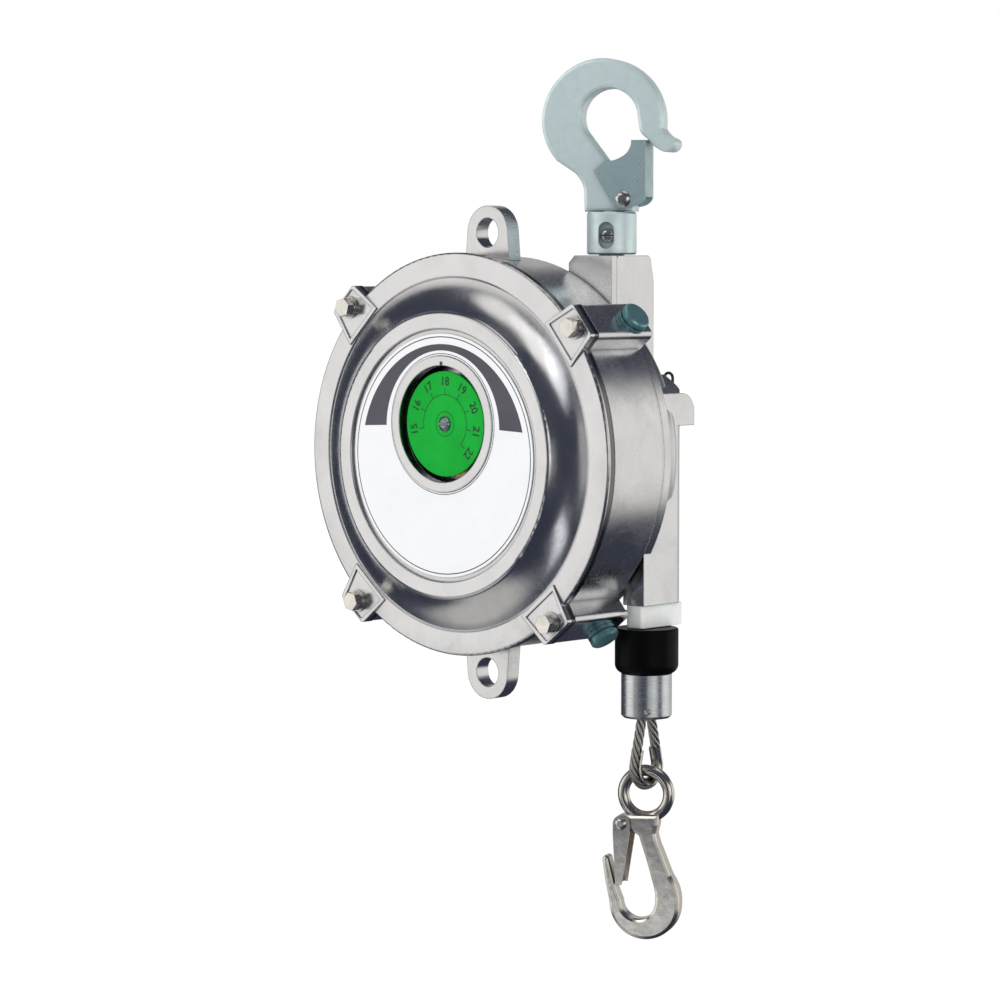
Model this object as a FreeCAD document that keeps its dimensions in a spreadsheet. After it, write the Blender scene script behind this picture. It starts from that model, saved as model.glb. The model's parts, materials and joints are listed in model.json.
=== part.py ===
import FreeCAD, Part
import math
import os
import Sketcher

# Spring balancer, in millimetres.
#
# The row frame has its origin where the load bears inside the upper hook, +Z up. The drum turns about an
# axis along Y, and the front cover faces -Y. Each piece is drawn about the drum frame, whose origin is the
# centre of the cover flange's front plane, or about its own axis, and is then placed into the row frame.
# "rise" is a height towards the front, -Y. "rear" and "front" name places along Y.

document = FreeCAD.newDocument("spring_balancer")
sheet = document.addObject("Spreadsheet::Sheet", "sizes")

# ---------------------------------------------------------------------------------------------- sizes
# alias, value, meaning
SIZES = [
    ("hook_x", 47.75, "upper hook's axis, sideways from the drum axis"),
    ("hook_y", 56.5, "upper hook's axis, back from the flange plane"),
    ("hang_rise", 171.8, "load point of the upper hook above the drum axis"),
    # fits
    ("running_fit", 0.05, "radial clearance of a shaft in its bush or bearing"),
    ("seat_fit", 0.02, "radial clearance of a fixed fit"),
    ("free_gap", 0.4, "gap between faces that pass each other"),
    ("screw_clearance", 0.25, "radial clearance of a screw in a through hole"),
    # front cover
    ("cover_lip", 2.0, "cover's flange, outside the casing's wall"),
    ("flange_thickness", 4.0, "flange of the cover"),
    ("flange_round", 1.0, "rounded edge of the flange"),
    ("flange_dome", 120.0, "radius of the flange's domed face"),
    ("step_radius", 84.1, "where the flange meets the cone"),
    ("step_rise", 1.2, "flange's inner edge, forward of its plane"),
    ("cone_foot", 82.9, "foot of the cone"),
    ("cone_foot_rise", 0.7, "foot of the cone, forward"),
    ("cone_hollow", 30.0, "radius of the cone's hollow face"),
    ("plateau_radius", 67.8, "outer edge of the raised middle"),
    ("plateau_rise", 9.1, "outer edge of the raised middle, forward"),
    ("plateau_round", 2.0, "rounded edge of the raised middle"),
    ("ring_radius", 59.4, "inner edge of the raised ring round the scale plate"),
    ("ring_rise", 10.4, "front of that ring, forward"),
    ("ring_round", 0.6, "rounded inner edge of that ring"),
    ("recess_rise", 8.9, "floor of the scale plate's recess, forward"),
    ("cover_wall", 3.6, "wall of the cover"),
    ("cone_inside", 15.4, "width of the cone inside the cover"),
    ("spigot_fit", 0.3, "clearance of the spigot that centres the cover in the casing"),
    ("spigot_wall", 3.5, "spigot's wall"),
    ("spigot_length", 3.0, "spigot, behind the flange"),
    ("post_circle", 48.0, "radius of the circle of the bridge's posts"),
    ("post_radius", 5.0, "posts that carry the bridge"),
    # window, dial and scale plate
    ("dial_rise", 14.8, "dial's centre above the drum axis"),
    ("bezel_radius", 32.0, "outside of the window's bezel"),
    ("window_radius", 27.5, "window"),
    ("bezel_rise", 10.2, "front of the bezel, forward"),
    ("bezel_round", 0.7, "rounded edges of the bezel"),
    ("pointer_width", 1.6, "notch in the bezel that the dial is read at"),
    ("pointer_length", 2.4, "that notch's length"),
    ("pointer_depth", 0.8, "that notch's depth"),
    ("dial_radius", 24.7, "dial"),
    ("dial_sheet", 1.2, "dial's thickness"),
    ("dial_set_back", 2.6, "dial's face behind the bezel's front"),
    ("dial_screw_head", 3.6, "radius of the dial screw's head"),
    ("dial_screw_rise", 1.3, "height of the dial screw's head"),
    ("dial_screw_shank", 1.25, "radius of the dial screw's shank"),
    ("plate_radius", 57.2, "scale plate"),
    ("plate_sheet", 0.6, "scale plate's thickness"),
    ("plate_gap", 0.15, "gap between the scale plate and the bezel"),
    # corners
    ("corner_one", 39.0, "angle of the first corner"),
    ("corner_two", 135.0, "angle of the second corner"),
    ("corner_three", 229.0, "angle of the third corner"),
    ("corner_four", 309.0, "angle of the fourth corner"),
    ("bolt_inset", 6.0, "cover bolts, inside the ears' outer ends"),
    ("ear_overhang", 10.0, "flat outer end of the ears and bosses, outside the casing's wall"),
    ("ear_root", 84.0, "radius where the ears start"),
    ("ear_half_width", 9.6, "half the ear's width at its outer end"),
    ("ear_root_half", 12.6, "half the ear's width at its root"),
    ("ear_rise", 1.9, "front of the ears, forward"),
    ("ear_bead", 2.0, "width of the bead along an ear's sides"),
    ("ear_end_bead", 0.7, "width of the bead at an ear's end"),
    ("ear_pad_depth", 0.7, "depth of the pad inside that bead"),
    ("ear_corner", 1.6, "rounded corners of the ears"),
    ("boss_sink", 2.2, "depth of the corner bosses' roots in the casing's wall"),
    ("boss_half_width", 10.0, "half the corner boss's width"),
    ("boss_corner", 3.0, "rounded corners of the bosses"),
    ("bolt_size", 5.0, "cover bolts' thread"),
    ("bolt_length", 22.0, "cover bolts under the head"),
    ("bolt_flats", 8.0, "cover bolts' heads across flats"),
    ("bolt_head", 3.8, "height of the cover bolts' heads"),
    ("washer_radius", 5.2, "plain washers"),
    ("washer_sheet", 1.0, "plain washers' thickness"),
    ("spring_washer_radius", 4.5, "spring washers"),
    ("spring_washer_sheet", 1.2, "spring washers' thickness"),
    ("tap_depth", 24.0, "end of the cover bolts' tapped holes, back"),
    ("gasket_sheet", 1.0, "gasket"),
    # casing, front half
    ("drum_room", 4.5, "room round the drum's large flange in the casing"),
    ("casing_front", 6.6, "front edge of the casing's outer wall"),
    ("casing_rear", 41.6, "rear edge of the casing's outer wall"),
    ("casing_edge", 1.2, "chamfer of that edge"),
    ("joint_plane", 44.8, "where the casing's halves meet"),
    ("casing_wall", 4.0, "wall of the casing"),
    ("land_inset", 2.4, "gasket land's edge, inside the casing's wall"),
    ("mouth_inset", 6.8, "mouth that takes the cover's spigot, inside the casing's wall"),
    ("land_depth", 4.5, "gasket land's thickness"),
    ("joint_inset", 2.8, "flange where the halves meet, inside the casing's wall"),
    ("joint_width", 9.4, "width of the joint flange"),
    ("inner_flange", 4.8, "joint flange's thickness, front half"),
    ("rope_slot_width", 13.0, "slot for the slanting rope in the joint flange"),
    # safety ears, tongue and plugs
    ("eye_x", 3.5, "safety ears, sideways"),
    ("eye_z", 104.3, "safety ears' holes, above and below the drum axis"),
    ("eye_hole", 7.0, "radius of the safety ears' holes"),
    ("eye_radius", 12.8, "outside of the safety ears"),
    ("eye_base", 14.0, "half the safety ears' width at their root"),
    ("eye_sink", 2.0, "depth of the safety ears' roots in the casing's wall"),
    ("eye_front", 18.0, "front face of the safety ears"),
    ("eye_sheet", 8.0, "safety ears' thickness"),
    ("tongue_front", 41.0, "front face of the tongue before the lug"),
    ("tongue_chamfer", 3.5, "chamfer of the tongue's corner"),
    ("plug_radius", 7.0, "plugs in the corner bosses"),
    ("plug_height", 5.5, "plugs' height over the boss"),
    ("plug_groove", 0.9, "groove round the plugs"),
    ("plug_shank", 3.0, "radius of the plugs' shanks"),
    ("plug_depth", 5.5, "depth of the plugs' seats"),
    ("plug_y", 31.0, "plugs, back from the flange plane"),
    ("plug_offset", -2.0, "plugs, sideways along the boss's face"),
    # casing, rear half
    ("rear_flange", 5.0, "joint flange's thickness, rear half"),
    ("shell_step", 6.2, "rear shell's flange, inside the joint's edge"),
    ("shell_rear_radius", 80.6, "outside of the rear shell at its back"),
    ("shell_rear", 68.5, "back face of the rear shell"),
    ("shell_round", 5.0, "rounded edge of the back face"),
    ("shell_wall", 6.5, "rear shell's wall at the flange"),
    ("cavity_rear_radius", 76.4, "inside of the rear shell at its back"),
    ("cavity_rear", 64.0, "inner face of the rear wall"),
    ("casing_screw_circle", 84.7, "radius of the circle of the casing screws"),
    ("casing_screw_phase", 14.0, "angle of the first casing screw"),
    ("casing_screw_size", 5.0, "casing screws' thread"),
    ("casing_screw_head", 4.0, "radius of the casing screws' heads"),
    ("casing_screw_rise", 3.6, "height of the casing screws' heads"),
    ("casing_screw_bite", 4.6, "casing screws' length in the rear half"),
    # hanger lug
    ("lug_left", 34.5, "left face of the lug"),
    ("lug_right", 61.0, "right face of the lug"),
    ("lug_top", 93.6, "top of the lug"),
    ("lug_rear", 71.5, "back of the lug"),
    ("lug_rear_top", 67.0, "back of the lug's top face"),
    ("lug_round", 2.4, "rounded back edge of the lug's top"),
    ("lug_shoulder", 81.5, "height where the lug's back turns upright"),
    ("lug_foot", 40.0, "foot of the lug's rib"),
    ("lug_chamfer", 1.2, "chamfer of the lug's front top edge"),
    ("pocket_width", 20.0, "pocket of the hook's nut"),
    ("pocket_floor", 70.0, "floor of that pocket"),
    ("pocket_top", 84.5, "top of that pocket"),
    # rope chute, guide and drum lock
    ("rope_x", 71.66, "rope's line, sideways: where it leaves the drum"),
    ("rope_y", 54.5, "rope's line, back"),
    ("rope_radius", 2.4, "wire rope"),
    ("chute_half", 6.3, "half the chute's width"),
    ("chute_rear", 74.5, "back of the chute"),
    ("chute_foot", -69.9, "lower end of the chute"),
    ("chute_outer_top", 29.0, "height of the chute's outer top corner"),
    ("chute_inner_top", 37.5, "height of the chute's inner top corner"),
    ("chute_round", 6.0, "rounded rear edge of the chute"),
    ("chute_wall", 2.5, "wall of the chute"),
    ("chute_start", 5.0, "upper end of the chute's channel"),
    ("guide_depth", 10.5, "rope guide's height"),
    ("guide_half", 5.1, "half the rope guide's width"),
    ("guide_front", 45.2, "front of the rope guide"),
    ("guide_rear", 75.0, "back of the rope guide"),
    ("guide_round", 1.6, "rounded corners of the rope guide"),
    ("guide_collar", 5.5, "rope guide's collar inside the chute"),
    ("guide_slot_half", 3.1, "half the width of the rope guide's slot"),
    ("guide_slot_reach", 4.0, "reach of that slot before and behind the rope"),
    ("lock_x", 60.0, "drum lock, sideways"),
    ("lock_z", 21.5, "drum lock, above the drum axis"),
    ("plunger_radius", 3.5, "plunger of the drum lock"),
    ("plunger_tip", 61.3, "tip of the plunger, unlocked"),
    ("plunger_end", 87.0, "end of the plunger, unlocked"),
    ("lock_bush_radius", 5.0, "bush of the drum lock"),
    ("lock_bush_front", 69.5, "front of that bush"),
    ("lock_bush_rear", 78.0, "back of that bush"),
    ("hood_left", 53.5, "left face of the drum lock's hood"),
    ("hood_step", 66.0, "where the hood gets deeper"),
    ("hood_foot", 13.7, "underside of the hood"),
    ("hood_rear", 77.4, "back of the hood round the plunger"),
    ("hood_deep_rear", 81.5, "back of the hood beside the chute"),
    ("hood_round", 9.0, "rounded top of the hood"),
    ("bail_y", 84.0, "wire bail, back"),
    ("bail_half", 2.55, "half the bail's width, to the wire's centre"),
    ("bail_top", 38.5, "top of the bail"),
    ("bail_wire", 0.7, "radius of the bail's wire"),
    # drum
    ("drum_front", 17.0, "front face of the drum's spring barrel"),
    ("barrel_radius", 72.0, "outside of the spring barrel"),
    ("barrel_wall", 6.0, "wall of the spring barrel"),
    ("chamber_rear", 49.5, "back of the spring chamber"),
    ("guard_radius", 84.5, "large flange of the drum"),
    ("guard_front", 31.0, "front of the large flange"),
    ("guard_sheet", 3.2, "large flange's thickness"),
    ("small_flange_radius", 75.0, "small flange of the drum"),
    ("small_flange_front", 57.5, "front of the small flange"),
    ("drum_rear", 60.5, "back of the drum"),
    ("web_rear", 54.0, "back of the drum's web"),
    ("rim_inside", 57.0, "inside of the drum's rear rim"),
    ("drum_hub", 24.0, "hub of the drum"),
    ("row_pitch", 5.295, "spacing of the rope's turns"),
    ("row_rise", 0.609, "growth of the radius from one turn to the next"),
    ("ridge_drop", 0.8, "ridges between the grooves, below the rope's centres"),
    ("lock_circle", 63.7, "radius of the circle of the lock's holes"),
    ("lock_hole", 4.2, "holes that the plunger enters"),
    ("lock_hole_depth", 8.0, "depth of those holes"),
    ("case_plate", 3.0, "lid of the spring barrel"),
    ("case_hub", 22.0, "hub of that lid"),
    ("case_hub_front", 8.8, "front of that hub"),
    ("case_hub_rear", 18.3, "back of that hub"),
    ("case_screw_head", 2.75, "radius of the lid screws' heads"),
    ("case_screw_rise", 2.0, "height of the lid screws' heads"),
    ("case_screw_shank", 1.5, "radius of the lid screws' shanks"),
    ("case_screw_bite", 9.0, "lid screws' length in the barrel"),
    ("bearing_bore", 10.0, "radius of the bearings' bores"),
    ("bearing_radius", 18.5, "outside of the bearings"),
    ("bearing_width", 9.0, "width of the bearings"),
    ("rear_bearing_front", 50.2, "front of the rear bearing"),
    ("shield_depth", 0.6, "bearings' shields, set back"),
    ("race_wall", 2.6, "wall of the bearings' rings"),
    ("anchor_radius", 3.0, "ferrule on the rope's inner end"),
    ("anchor_length", 12.0, "that ferrule's length"),
    # mainspring
    ("spring_strip", 1.6, "mainspring's strip"),
    ("spring_front", 18.6, "front edge of the mainspring"),
    ("spring_rear", 48.9, "rear edge of the mainspring"),
    ("spring_start", 16.6, "inner radius of the mainspring"),
    ("spring_turns", 7.0, "turns of the mainspring"),
    # shaft, bridge and bushes
    ("nose_radius", 2.0, "shaft's nose, in the dial pinion"),
    ("nose_front", -2.0, "front end of the nose"),
    ("front_journal_radius", 7.95, "shaft in the front bush"),
    ("front_journal_front", 1.6, "front of that journal"),
    ("seat_radius", 9.95, "shaft in the ball bearings"),
    ("seat_front", 8.0, "front of the bearing seats"),
    ("core_radius", 16.0, "spring core of the shaft"),
    ("core_front", 18.2, "front of the spring core"),
    ("core_rear", 49.8, "back of the spring core"),
    ("core_slot", 2.4, "slot in the core that holds the spring's hook"),
    ("seat_rear", 62.4, "back of the bearing seats"),
    ("rear_journal_radius", 8.95, "shaft in the rear bush"),
    ("rear_journal_rear", 70.0, "back of that journal"),
    ("wheel_seat_radius", 7.95, "shaft in the worm wheel"),
    ("shaft_rear", 84.4, "back end of the shaft"),
    ("bridge_radius", 54.0, "bridge that carries the front bush"),
    ("bridge_front", 2.0, "front face of the bridge"),
    ("bridge_sheet", 3.0, "bridge's thickness"),
    ("bridge_hole_circle", 32.0, "radius of the circle of the bridge's openings"),
    ("bridge_hole", 9.0, "radius of the bridge's openings"),
    ("bridge_screw_head", 3.5, "radius of the bridge screws' heads"),
    ("bridge_screw_rise", 2.4, "height of the bridge screws' heads"),
    ("bridge_screw_shank", 2.0, "radius of the bridge screws' shanks"),
    ("bridge_screw_bite", 4.0, "bridge screws' length in the posts"),
    ("front_bush_radius", 11.0, "front bush"),
    ("front_bush_flange", 14.0, "front bush's flange"),
    ("bush_flange_sheet", 1.4, "thickness of the bushes' flanges"),
    ("rear_bush_radius", 12.0, "rear bush"),
    ("rear_bush_flange", 15.0, "rear bush's flange"),
    ("rear_bush_rear", 69.0, "back of the rear bush"),
    ("stud_radius", 2.0, "stud that the dial gear turns on"),
    # dial gears
    ("pinion_pitch", 4.0, "pitch radius of the dial pinion"),
    ("gear_addendum", 0.8, "dial gears' teeth over the pitch circle"),
    ("gear_dedendum", 1.0, "dial gears' teeth under the pitch circle"),
    ("gear_front", -1.4, "front of the dial gear's teeth"),
    ("gear_width", 2.4, "dial gear's teeth"),
    ("gear_hub", 5.0, "dial gear's hub"),
    ("gear_hub_rear", 1.6, "back of the dial gear's hub"),
    ("gear_bore_front", -4.4, "end of the dial gear's blind bore"),
    # worm gear
    ("worm_pitch_radius", 6.5, "pitch radius of the worm"),
    ("wheel_pitch_radius", 22.5, "pitch radius of the worm wheel"),
    ("worm_addendum", 1.5, "worm gear's teeth over the pitch line"),
    ("worm_dedendum", 1.9, "worm gear's teeth under the pitch line"),
    ("worm_y", 76.5, "worm's axis and middle of the wheel, back"),
    ("wheel_width", 7.0, "worm wheel's teeth"),
    ("wheel_hub", 13.0, "worm wheel's hub"),
    ("wheel_hub_rear", 81.6, "back of the worm wheel's hub"),
    ("tooth_pitch_width", 1.6, "teeth at the pitch line"),
    ("tooth_slope", 0.2586, "tangent of the teeth's flank angle"),
    ("worm_core_half", 17.5, "half the length of the worm's core"),
    ("worm_journal", 4.0, "radius of the worm's journals"),
    ("hexagon_flats", 8.0, "hexagon end of the worm, across flats"),
    ("hexagon_length", 8.0, "hexagon end's length"),
    ("key_width", 5.0, "key of the worm wheel"),
    ("key_foot", 5.0, "foot of the key, from the shaft's axis"),
    ("key_top", 10.2, "top of the key, from the shaft's axis"),
    ("key_front", 71.5, "front of the key"),
    ("key_length", 8.5, "key's length"),
    ("circlip_groove", 6.9, "bottom of the circlip's groove"),
    ("circlip_radius", 10.5, "outside of the circlip"),
    ("circlip_front", 81.7, "front of the circlip"),
    ("circlip_sheet", 1.1, "circlip's thickness"),
    # gearbox
    ("gearbox_radius", 30.0, "round part of the gearbox"),
    ("gearbox_wall", 4.0, "gearbox's wall"),
    ("gearbox_floor", 68.1, "floor of the gearbox"),
    ("gearbox_rear", 85.0, "rim of the gearbox"),
    ("gearbox_half", 24.0, "half the length of the worm's box"),
    ("gearbox_end_wall", 6.0, "end walls of the worm's box"),
    ("gearbox_foot", -41.0, "underside of the worm's box"),
    ("gear_cover_sheet", 3.0, "lid of the gearbox"),
    ("gear_screw_circle", 28.0, "radius of the circle of the lid's upper screws"),
    ("gear_screw_x", 21.0, "lower screws of that lid, sideways"),
    ("gear_screw_head", 2.8, "radius of those screws' heads"),
    ("gear_screw_rise", 1.9, "height of those screws' heads"),
    ("gear_screw_shank", 1.5, "radius of those screws' shanks"),
    ("gear_screw_bite", 8.0, "those screws' length in the gearbox"),
    ("worm_bush_wall", 2.4, "wall of the worm's bushes"),
    # upper hook
    ("hook_yaw", 27.0, "plane of the upper hook, turned from X"),
    ("hook_thickness", 13.0, "upper hook"),
    ("hook_inner_radius", 13.6, "inside of the upper hook"),
    ("hook_outer_radius", 29.6, "outside of the upper hook"),
    ("shank_radius", 6.0, "shank of the upper hook"),
    ("shank_foot", 71.0, "lower end of the shank"),
    ("shoulder_z", 114.2, "foot of the upper hook's forging"),
    ("swivel_fit", 0.1, "radial clearance of the shank in the lug"),
    ("collar_radius", 11.75, "collar under the upper hook"),
    ("collar_top", 114.0, "top of the collar"),
    ("collar_edge", 0.8, "chamfer of the collar's ends"),
    ("collar_slot_half", 3.75, "half the width of the slot in the collar"),
    ("collar_slot_reach", 6.3, "half the height of the slot in the collar"),
    ("collar_slot_floor", 8.2, "floor of that slot, from the hook's axis"),
    ("collar_screw_z", 103.0, "collar's screw"),
    ("collar_screw_head", 3.2, "radius of the collar screw's head"),
    ("collar_screw_rise", 2.2, "height of the collar screw's head"),
    ("collar_screw_shank", 2.0, "radius of the collar screw's shank"),
    ("nut_flats", 16.0, "upper hook's nut across flats"),
    ("nut_foot", 72.3, "foot of the nut"),
    ("nut_top", 81.3, "top of the nut"),
    ("nut_slot", 3.4, "slots of the nut"),
    ("nut_slot_depth", 3.8, "depth of the nut's slots"),
    ("pin_radius", 1.4, "pin through the nut"),
    ("pin_half", 9.0, "half the pin's length"),
    ("pin_z", 74.2, "pin through the nut"),
    ("thrust_washer_radius", 9.3, "thrust washer"),
    # upper latch
    ("hook_edge", 1.6, "rounded edges of the upper hook"),
    ("latch_x", 7.3, "upper latch's rivet, in the hook's plane"),
    ("latch_z", 120.0, "upper latch's rivet, height"),
    ("latch_gap", 0.4, "gap between the hook and each plate of the latch"),
    ("latch_sheet", 1.6, "latch's sheet"),
    ("latch_spine", 18.1, "outer face of the upper latch's back"),
    ("latch_top", 147.5, "upper end of the upper latch"),
    ("rivet_radius", 2.5, "upper latch's rivet"),
    ("rivet_head", 4.0, "heads of that rivet"),
    ("rivet_head_rise", 1.5, "height of those heads"),
    ("latch_spring_radius", 3.8, "upper latch's spring"),
    ("latch_spring_depth", 3.9, "depth of the counterbore that holds the spring"),
    # rope end
    ("run_top", -28.0, "where the straight rope is clear of the turns on the drum"),
    ("bumper_top", -80.8, "upper end of the rubber bumper"),
    ("bumper_foot", -102.4, "lower end of the rubber bumper"),
    ("bumper_radius", 15.0, "rubber bumper"),
    ("bumper_round", 4.5, "rounded lower edge of the bumper"),
    ("bumper_edge", 1.0, "rounded upper edge of the bumper"),
    ("sleeve_foot", -123.2, "lower end of the sleeve"),
    ("sleeve_radius", 12.0, "sleeve"),
    ("sleeve_edge", 1.2, "chamfer of the sleeve's lower edge"),
    ("sleeve_pocket", 6.6, "depth of the sleeve's pocket for the loop's legs"),
    ("sleeve_screw_z", -119.4, "sleeve's screw"),
    ("sleeve_screw_yaw", -47.6, "direction of the sleeve's screw, from X"),
    ("sleeve_screw_radius", 1.5, "sleeve's screw"),
    ("rope_hole", 2.5, "bore for the rope in the bumper and the sleeve"),
    ("loop_z", -146.8, "centre of the rope loop's bend"),
    ("loop_radius", 8.6, "rope loop's bend, to the rope's centre"),
    ("leg_half", 3.0, "half the distance between the loop's legs in the sleeve"),
    ("thimble_sheet", 0.8, "thimble's sheet"),
    ("leg_straight", 1.0, "height in the sleeve where the loop's legs turn upright"),
    ("thimble_leg", 7.0, "straight legs of the thimble"),
    # lower hook
    ("lower_yaw", 25.0, "plane of the lower hook, turned from X"),
    ("lower_thickness", 9.0, "lower hook"),
    ("lower_edge", 1.6, "rounded edges of the lower hook"),
    ("eye_mid", 11.05, "eye of the lower hook, to the bar's centre"),
    ("eye_bar", 2.75, "radius of the eye's bar"),
    ("lower_eye_z", -159.6, "centre of the lower hook's eye"),
    ("bowl_radius", 17.0, "outside of the lower hook's bowl"),
    ("bowl_inner", 8.3, "inside of the lower hook's bowl"),
    ("lower_latch_x", -10.8, "lower latch's rivet, in the hook's plane"),
    ("lower_latch_z", -173.6, "lower latch's rivet, height"),
    ("lower_ear", 4.0, "ear round the lower latch's rivet"),
    ("lower_latch_gap", 0.35, "gap between the lower hook and each plate of the latch"),
    ("lower_latch_sheet", 1.2, "lower latch's sheet"),
    ("lower_rivet", 1.8, "radius of the lower latch's rivet"),
    ("lower_rivet_head", 3.0, "heads of that rivet"),
    ("lower_rivet_rise", 1.1, "height of those heads"),
    ("lower_spring_radius", 2.9, "lower latch's spring"),
    ("lower_spring_depth", 2.6, "depth of the counterbore that holds the spring"),
]

POST_ANGLES = (-90.0, 30.0, 150.0)
BRIDGE_OPENING_ANGLES = (-30.0, 210.0)
WHEEL_TEETH = 30
PINION_TEETH = 10
DIAL_TEETH = 27
LOCK_HOLES = 14
ROPE_ROWS = 4
CASING_SCREWS = 5
CASE_SCREWS = 6
THREAD_TURNS = 5


# -------------------------------------------------------------------------------------------- helpers
class Size:
    """A number together with the sheet's expression that gives it."""

    def __init__(self, value, text):
        self.value = value
        self.text = text

    def __add__(self, other):
        return Size(self.value + number(other), "(%s + %s)" % (self.text, expression(other)))

    def __radd__(self, other):
        return self + other

    def __sub__(self, other):
        return Size(self.value - number(other), "(%s - %s)" % (self.text, expression(other)))

    def __rsub__(self, other):
        return Size(number(other) - self.value, "(%s - %s)" % (expression(other), self.text))

    def __mul__(self, other):
        return Size(self.value * number(other), "(%s * %s)" % (self.text, expression(other)))

    def __rmul__(self, other):
        return self * other

    def __truediv__(self, other):
        return Size(self.value / number(other), "(%s / %s)" % (self.text, expression(other)))

    def __neg__(self):
        return Size(-self.value, "(0 - %s)" % self.text)


def number(value):
    return value.value if isinstance(value, Size) else float(value)


def expression(value):
    return value.text if isinstance(value, Size) else "(%r)" % float(value)


def cosine(angle):
    return Size(math.cos(math.radians(number(angle))), "cos(%s * 1 deg)" % expression(angle))


def sine(angle):
    return Size(math.sin(math.radians(number(angle))), "sin(%s * 1 deg)" % expression(angle))


def root(value):
    return Size(math.sqrt(number(value)), "sqrt(%s)" % expression(value))


class Sizes:
    """The sheet's values, as attributes."""


def fill_sheet():
    for row, (alias, value, meaning) in enumerate(SIZES, start=1):
        sheet.set("A%d" % row, meaning)
        sheet.set("B%d" % row, str(value))
        sheet.setAlias("B%d" % row, alias)
        setattr(dim, alias, Size(value, "sizes." + alias))
    document.recompute()


def derive_sizes():
    """The casing's sizes follow the drum's large flange, and the cover's follow the casing's."""
    dim.casing_radius = dim.guard_radius + dim.drum_room + dim.casing_wall
    dim.cover_radius = dim.casing_radius + dim.cover_lip
    dim.ear_reach = dim.casing_radius + dim.ear_overhang
    dim.bolt_circle = dim.ear_reach - dim.bolt_inset
    dim.boss_root = dim.casing_radius - dim.boss_sink
    dim.eye_root = dim.casing_radius - dim.eye_sink
    dim.land_radius = dim.casing_radius - dim.land_inset
    dim.mouth_radius = dim.casing_radius - dim.mouth_inset
    dim.spigot_radius = dim.mouth_radius - dim.spigot_fit
    dim.joint_radius = dim.casing_radius - dim.joint_inset
    dim.inner_flange_radius = dim.joint_radius - dim.joint_width
    dim.shell_radius = dim.joint_radius - dim.shell_step
    dim.cavity_radius = dim.shell_radius - dim.shell_wall
    dim.chamber_radius = dim.barrel_radius - dim.barrel_wall
    dim.collar_foot = dim.lug_top + dim.free_gap


dim = Sizes()
fill_sheet()
derive_sizes()
CORNERS = (dim.corner_one, dim.corner_two, dim.corner_three, dim.corner_four)

pieces = []


def vector(x, y, z):
    return FreeCAD.Vector(number(x), number(y), number(z))


def bind(target, prop, value):
    """Sets a property to a size, and ties it to the sheet."""
    if "." not in prop:
        setattr(target, prop, number(value))
    if isinstance(value, Size):
        target.setExpression(prop, value.text)


def locate(target, x, y, z, rotation=FreeCAD.Rotation()):
    """Places an object at x, y, z, tied to the sheet."""
    target.Placement = FreeCAD.Placement(vector(x, y, z), rotation)
    for axis, value in (("x", x), ("y", y), ("z", z)):
        bind(target, "Placement.Base." + axis, value)


def yawed(angle):
    return FreeCAD.Rotation(FreeCAD.Vector(0, 0, 1), number(angle))


def finish(target, label, x=0, y=0, z=0, rotation=FreeCAD.Rotation()):
    """Names a finished piece and moves it from the drum frame into the row frame."""
    target.Label = label
    locate(target, x - dim.hook_x, y - dim.hook_y, z - dim.hang_rise, rotation)
    pieces.append(target)
    document.recompute()


def new_body(name):
    return document.addObject("PartDesign::Body", name + "_body")


class Circle:
    """A full circle in a sketch."""

    def __init__(self, u, v, radius):
        self.u = u
        self.v = v
        self.radius = radius


def polar(radius, sideways, angle):
    """The point at a radius along an angle, and beside it."""
    return (radius * cosine(angle) - sideways * sine(angle),
            radius * sine(angle) + sideways * cosine(angle))


def pin_point(sketch, geometry, position, u, v):
    """Ties a point of a sketch to its distances from the origin."""
    for kind, value, axis in (("DistanceX", u, -2), ("DistanceY", v, -1)):
        if not isinstance(value, Size) and value == 0:
            sketch.addConstraint(Sketcher.Constraint("PointOnObject", geometry, position, axis))
            continue
        index = sketch.addConstraint(
            Sketcher.Constraint(kind, -1, 1, geometry, position, number(value)))
        if isinstance(value, Size):
            sketch.setExpression("Constraints[%d]" % index, value.text)


def set_radius(sketch, geometry, radius):
    index = sketch.addConstraint(Sketcher.Constraint("Radius", geometry, abs(number(radius))))
    if isinstance(radius, Size):
        size = radius if radius.value > 0 else -radius
        sketch.setExpression("Constraints[%d]" % index, size.text)


def arc_between(start, end, radius):
    """The short arc from start to end: its centre is on the left for a positive radius."""
    chord = end.sub(start)
    half = chord.Length / 2
    size = abs(number(radius))
    sagitta = size - math.sqrt(max(size * size - half * half, 0))
    left = FreeCAD.Vector(-chord.y, chord.x, 0).normalize()
    side = -sagitta if number(radius) > 0 else sagitta
    return Part.Arc(start, start.add(end).multiply(0.5).add(left.multiply(side)), end)


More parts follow.
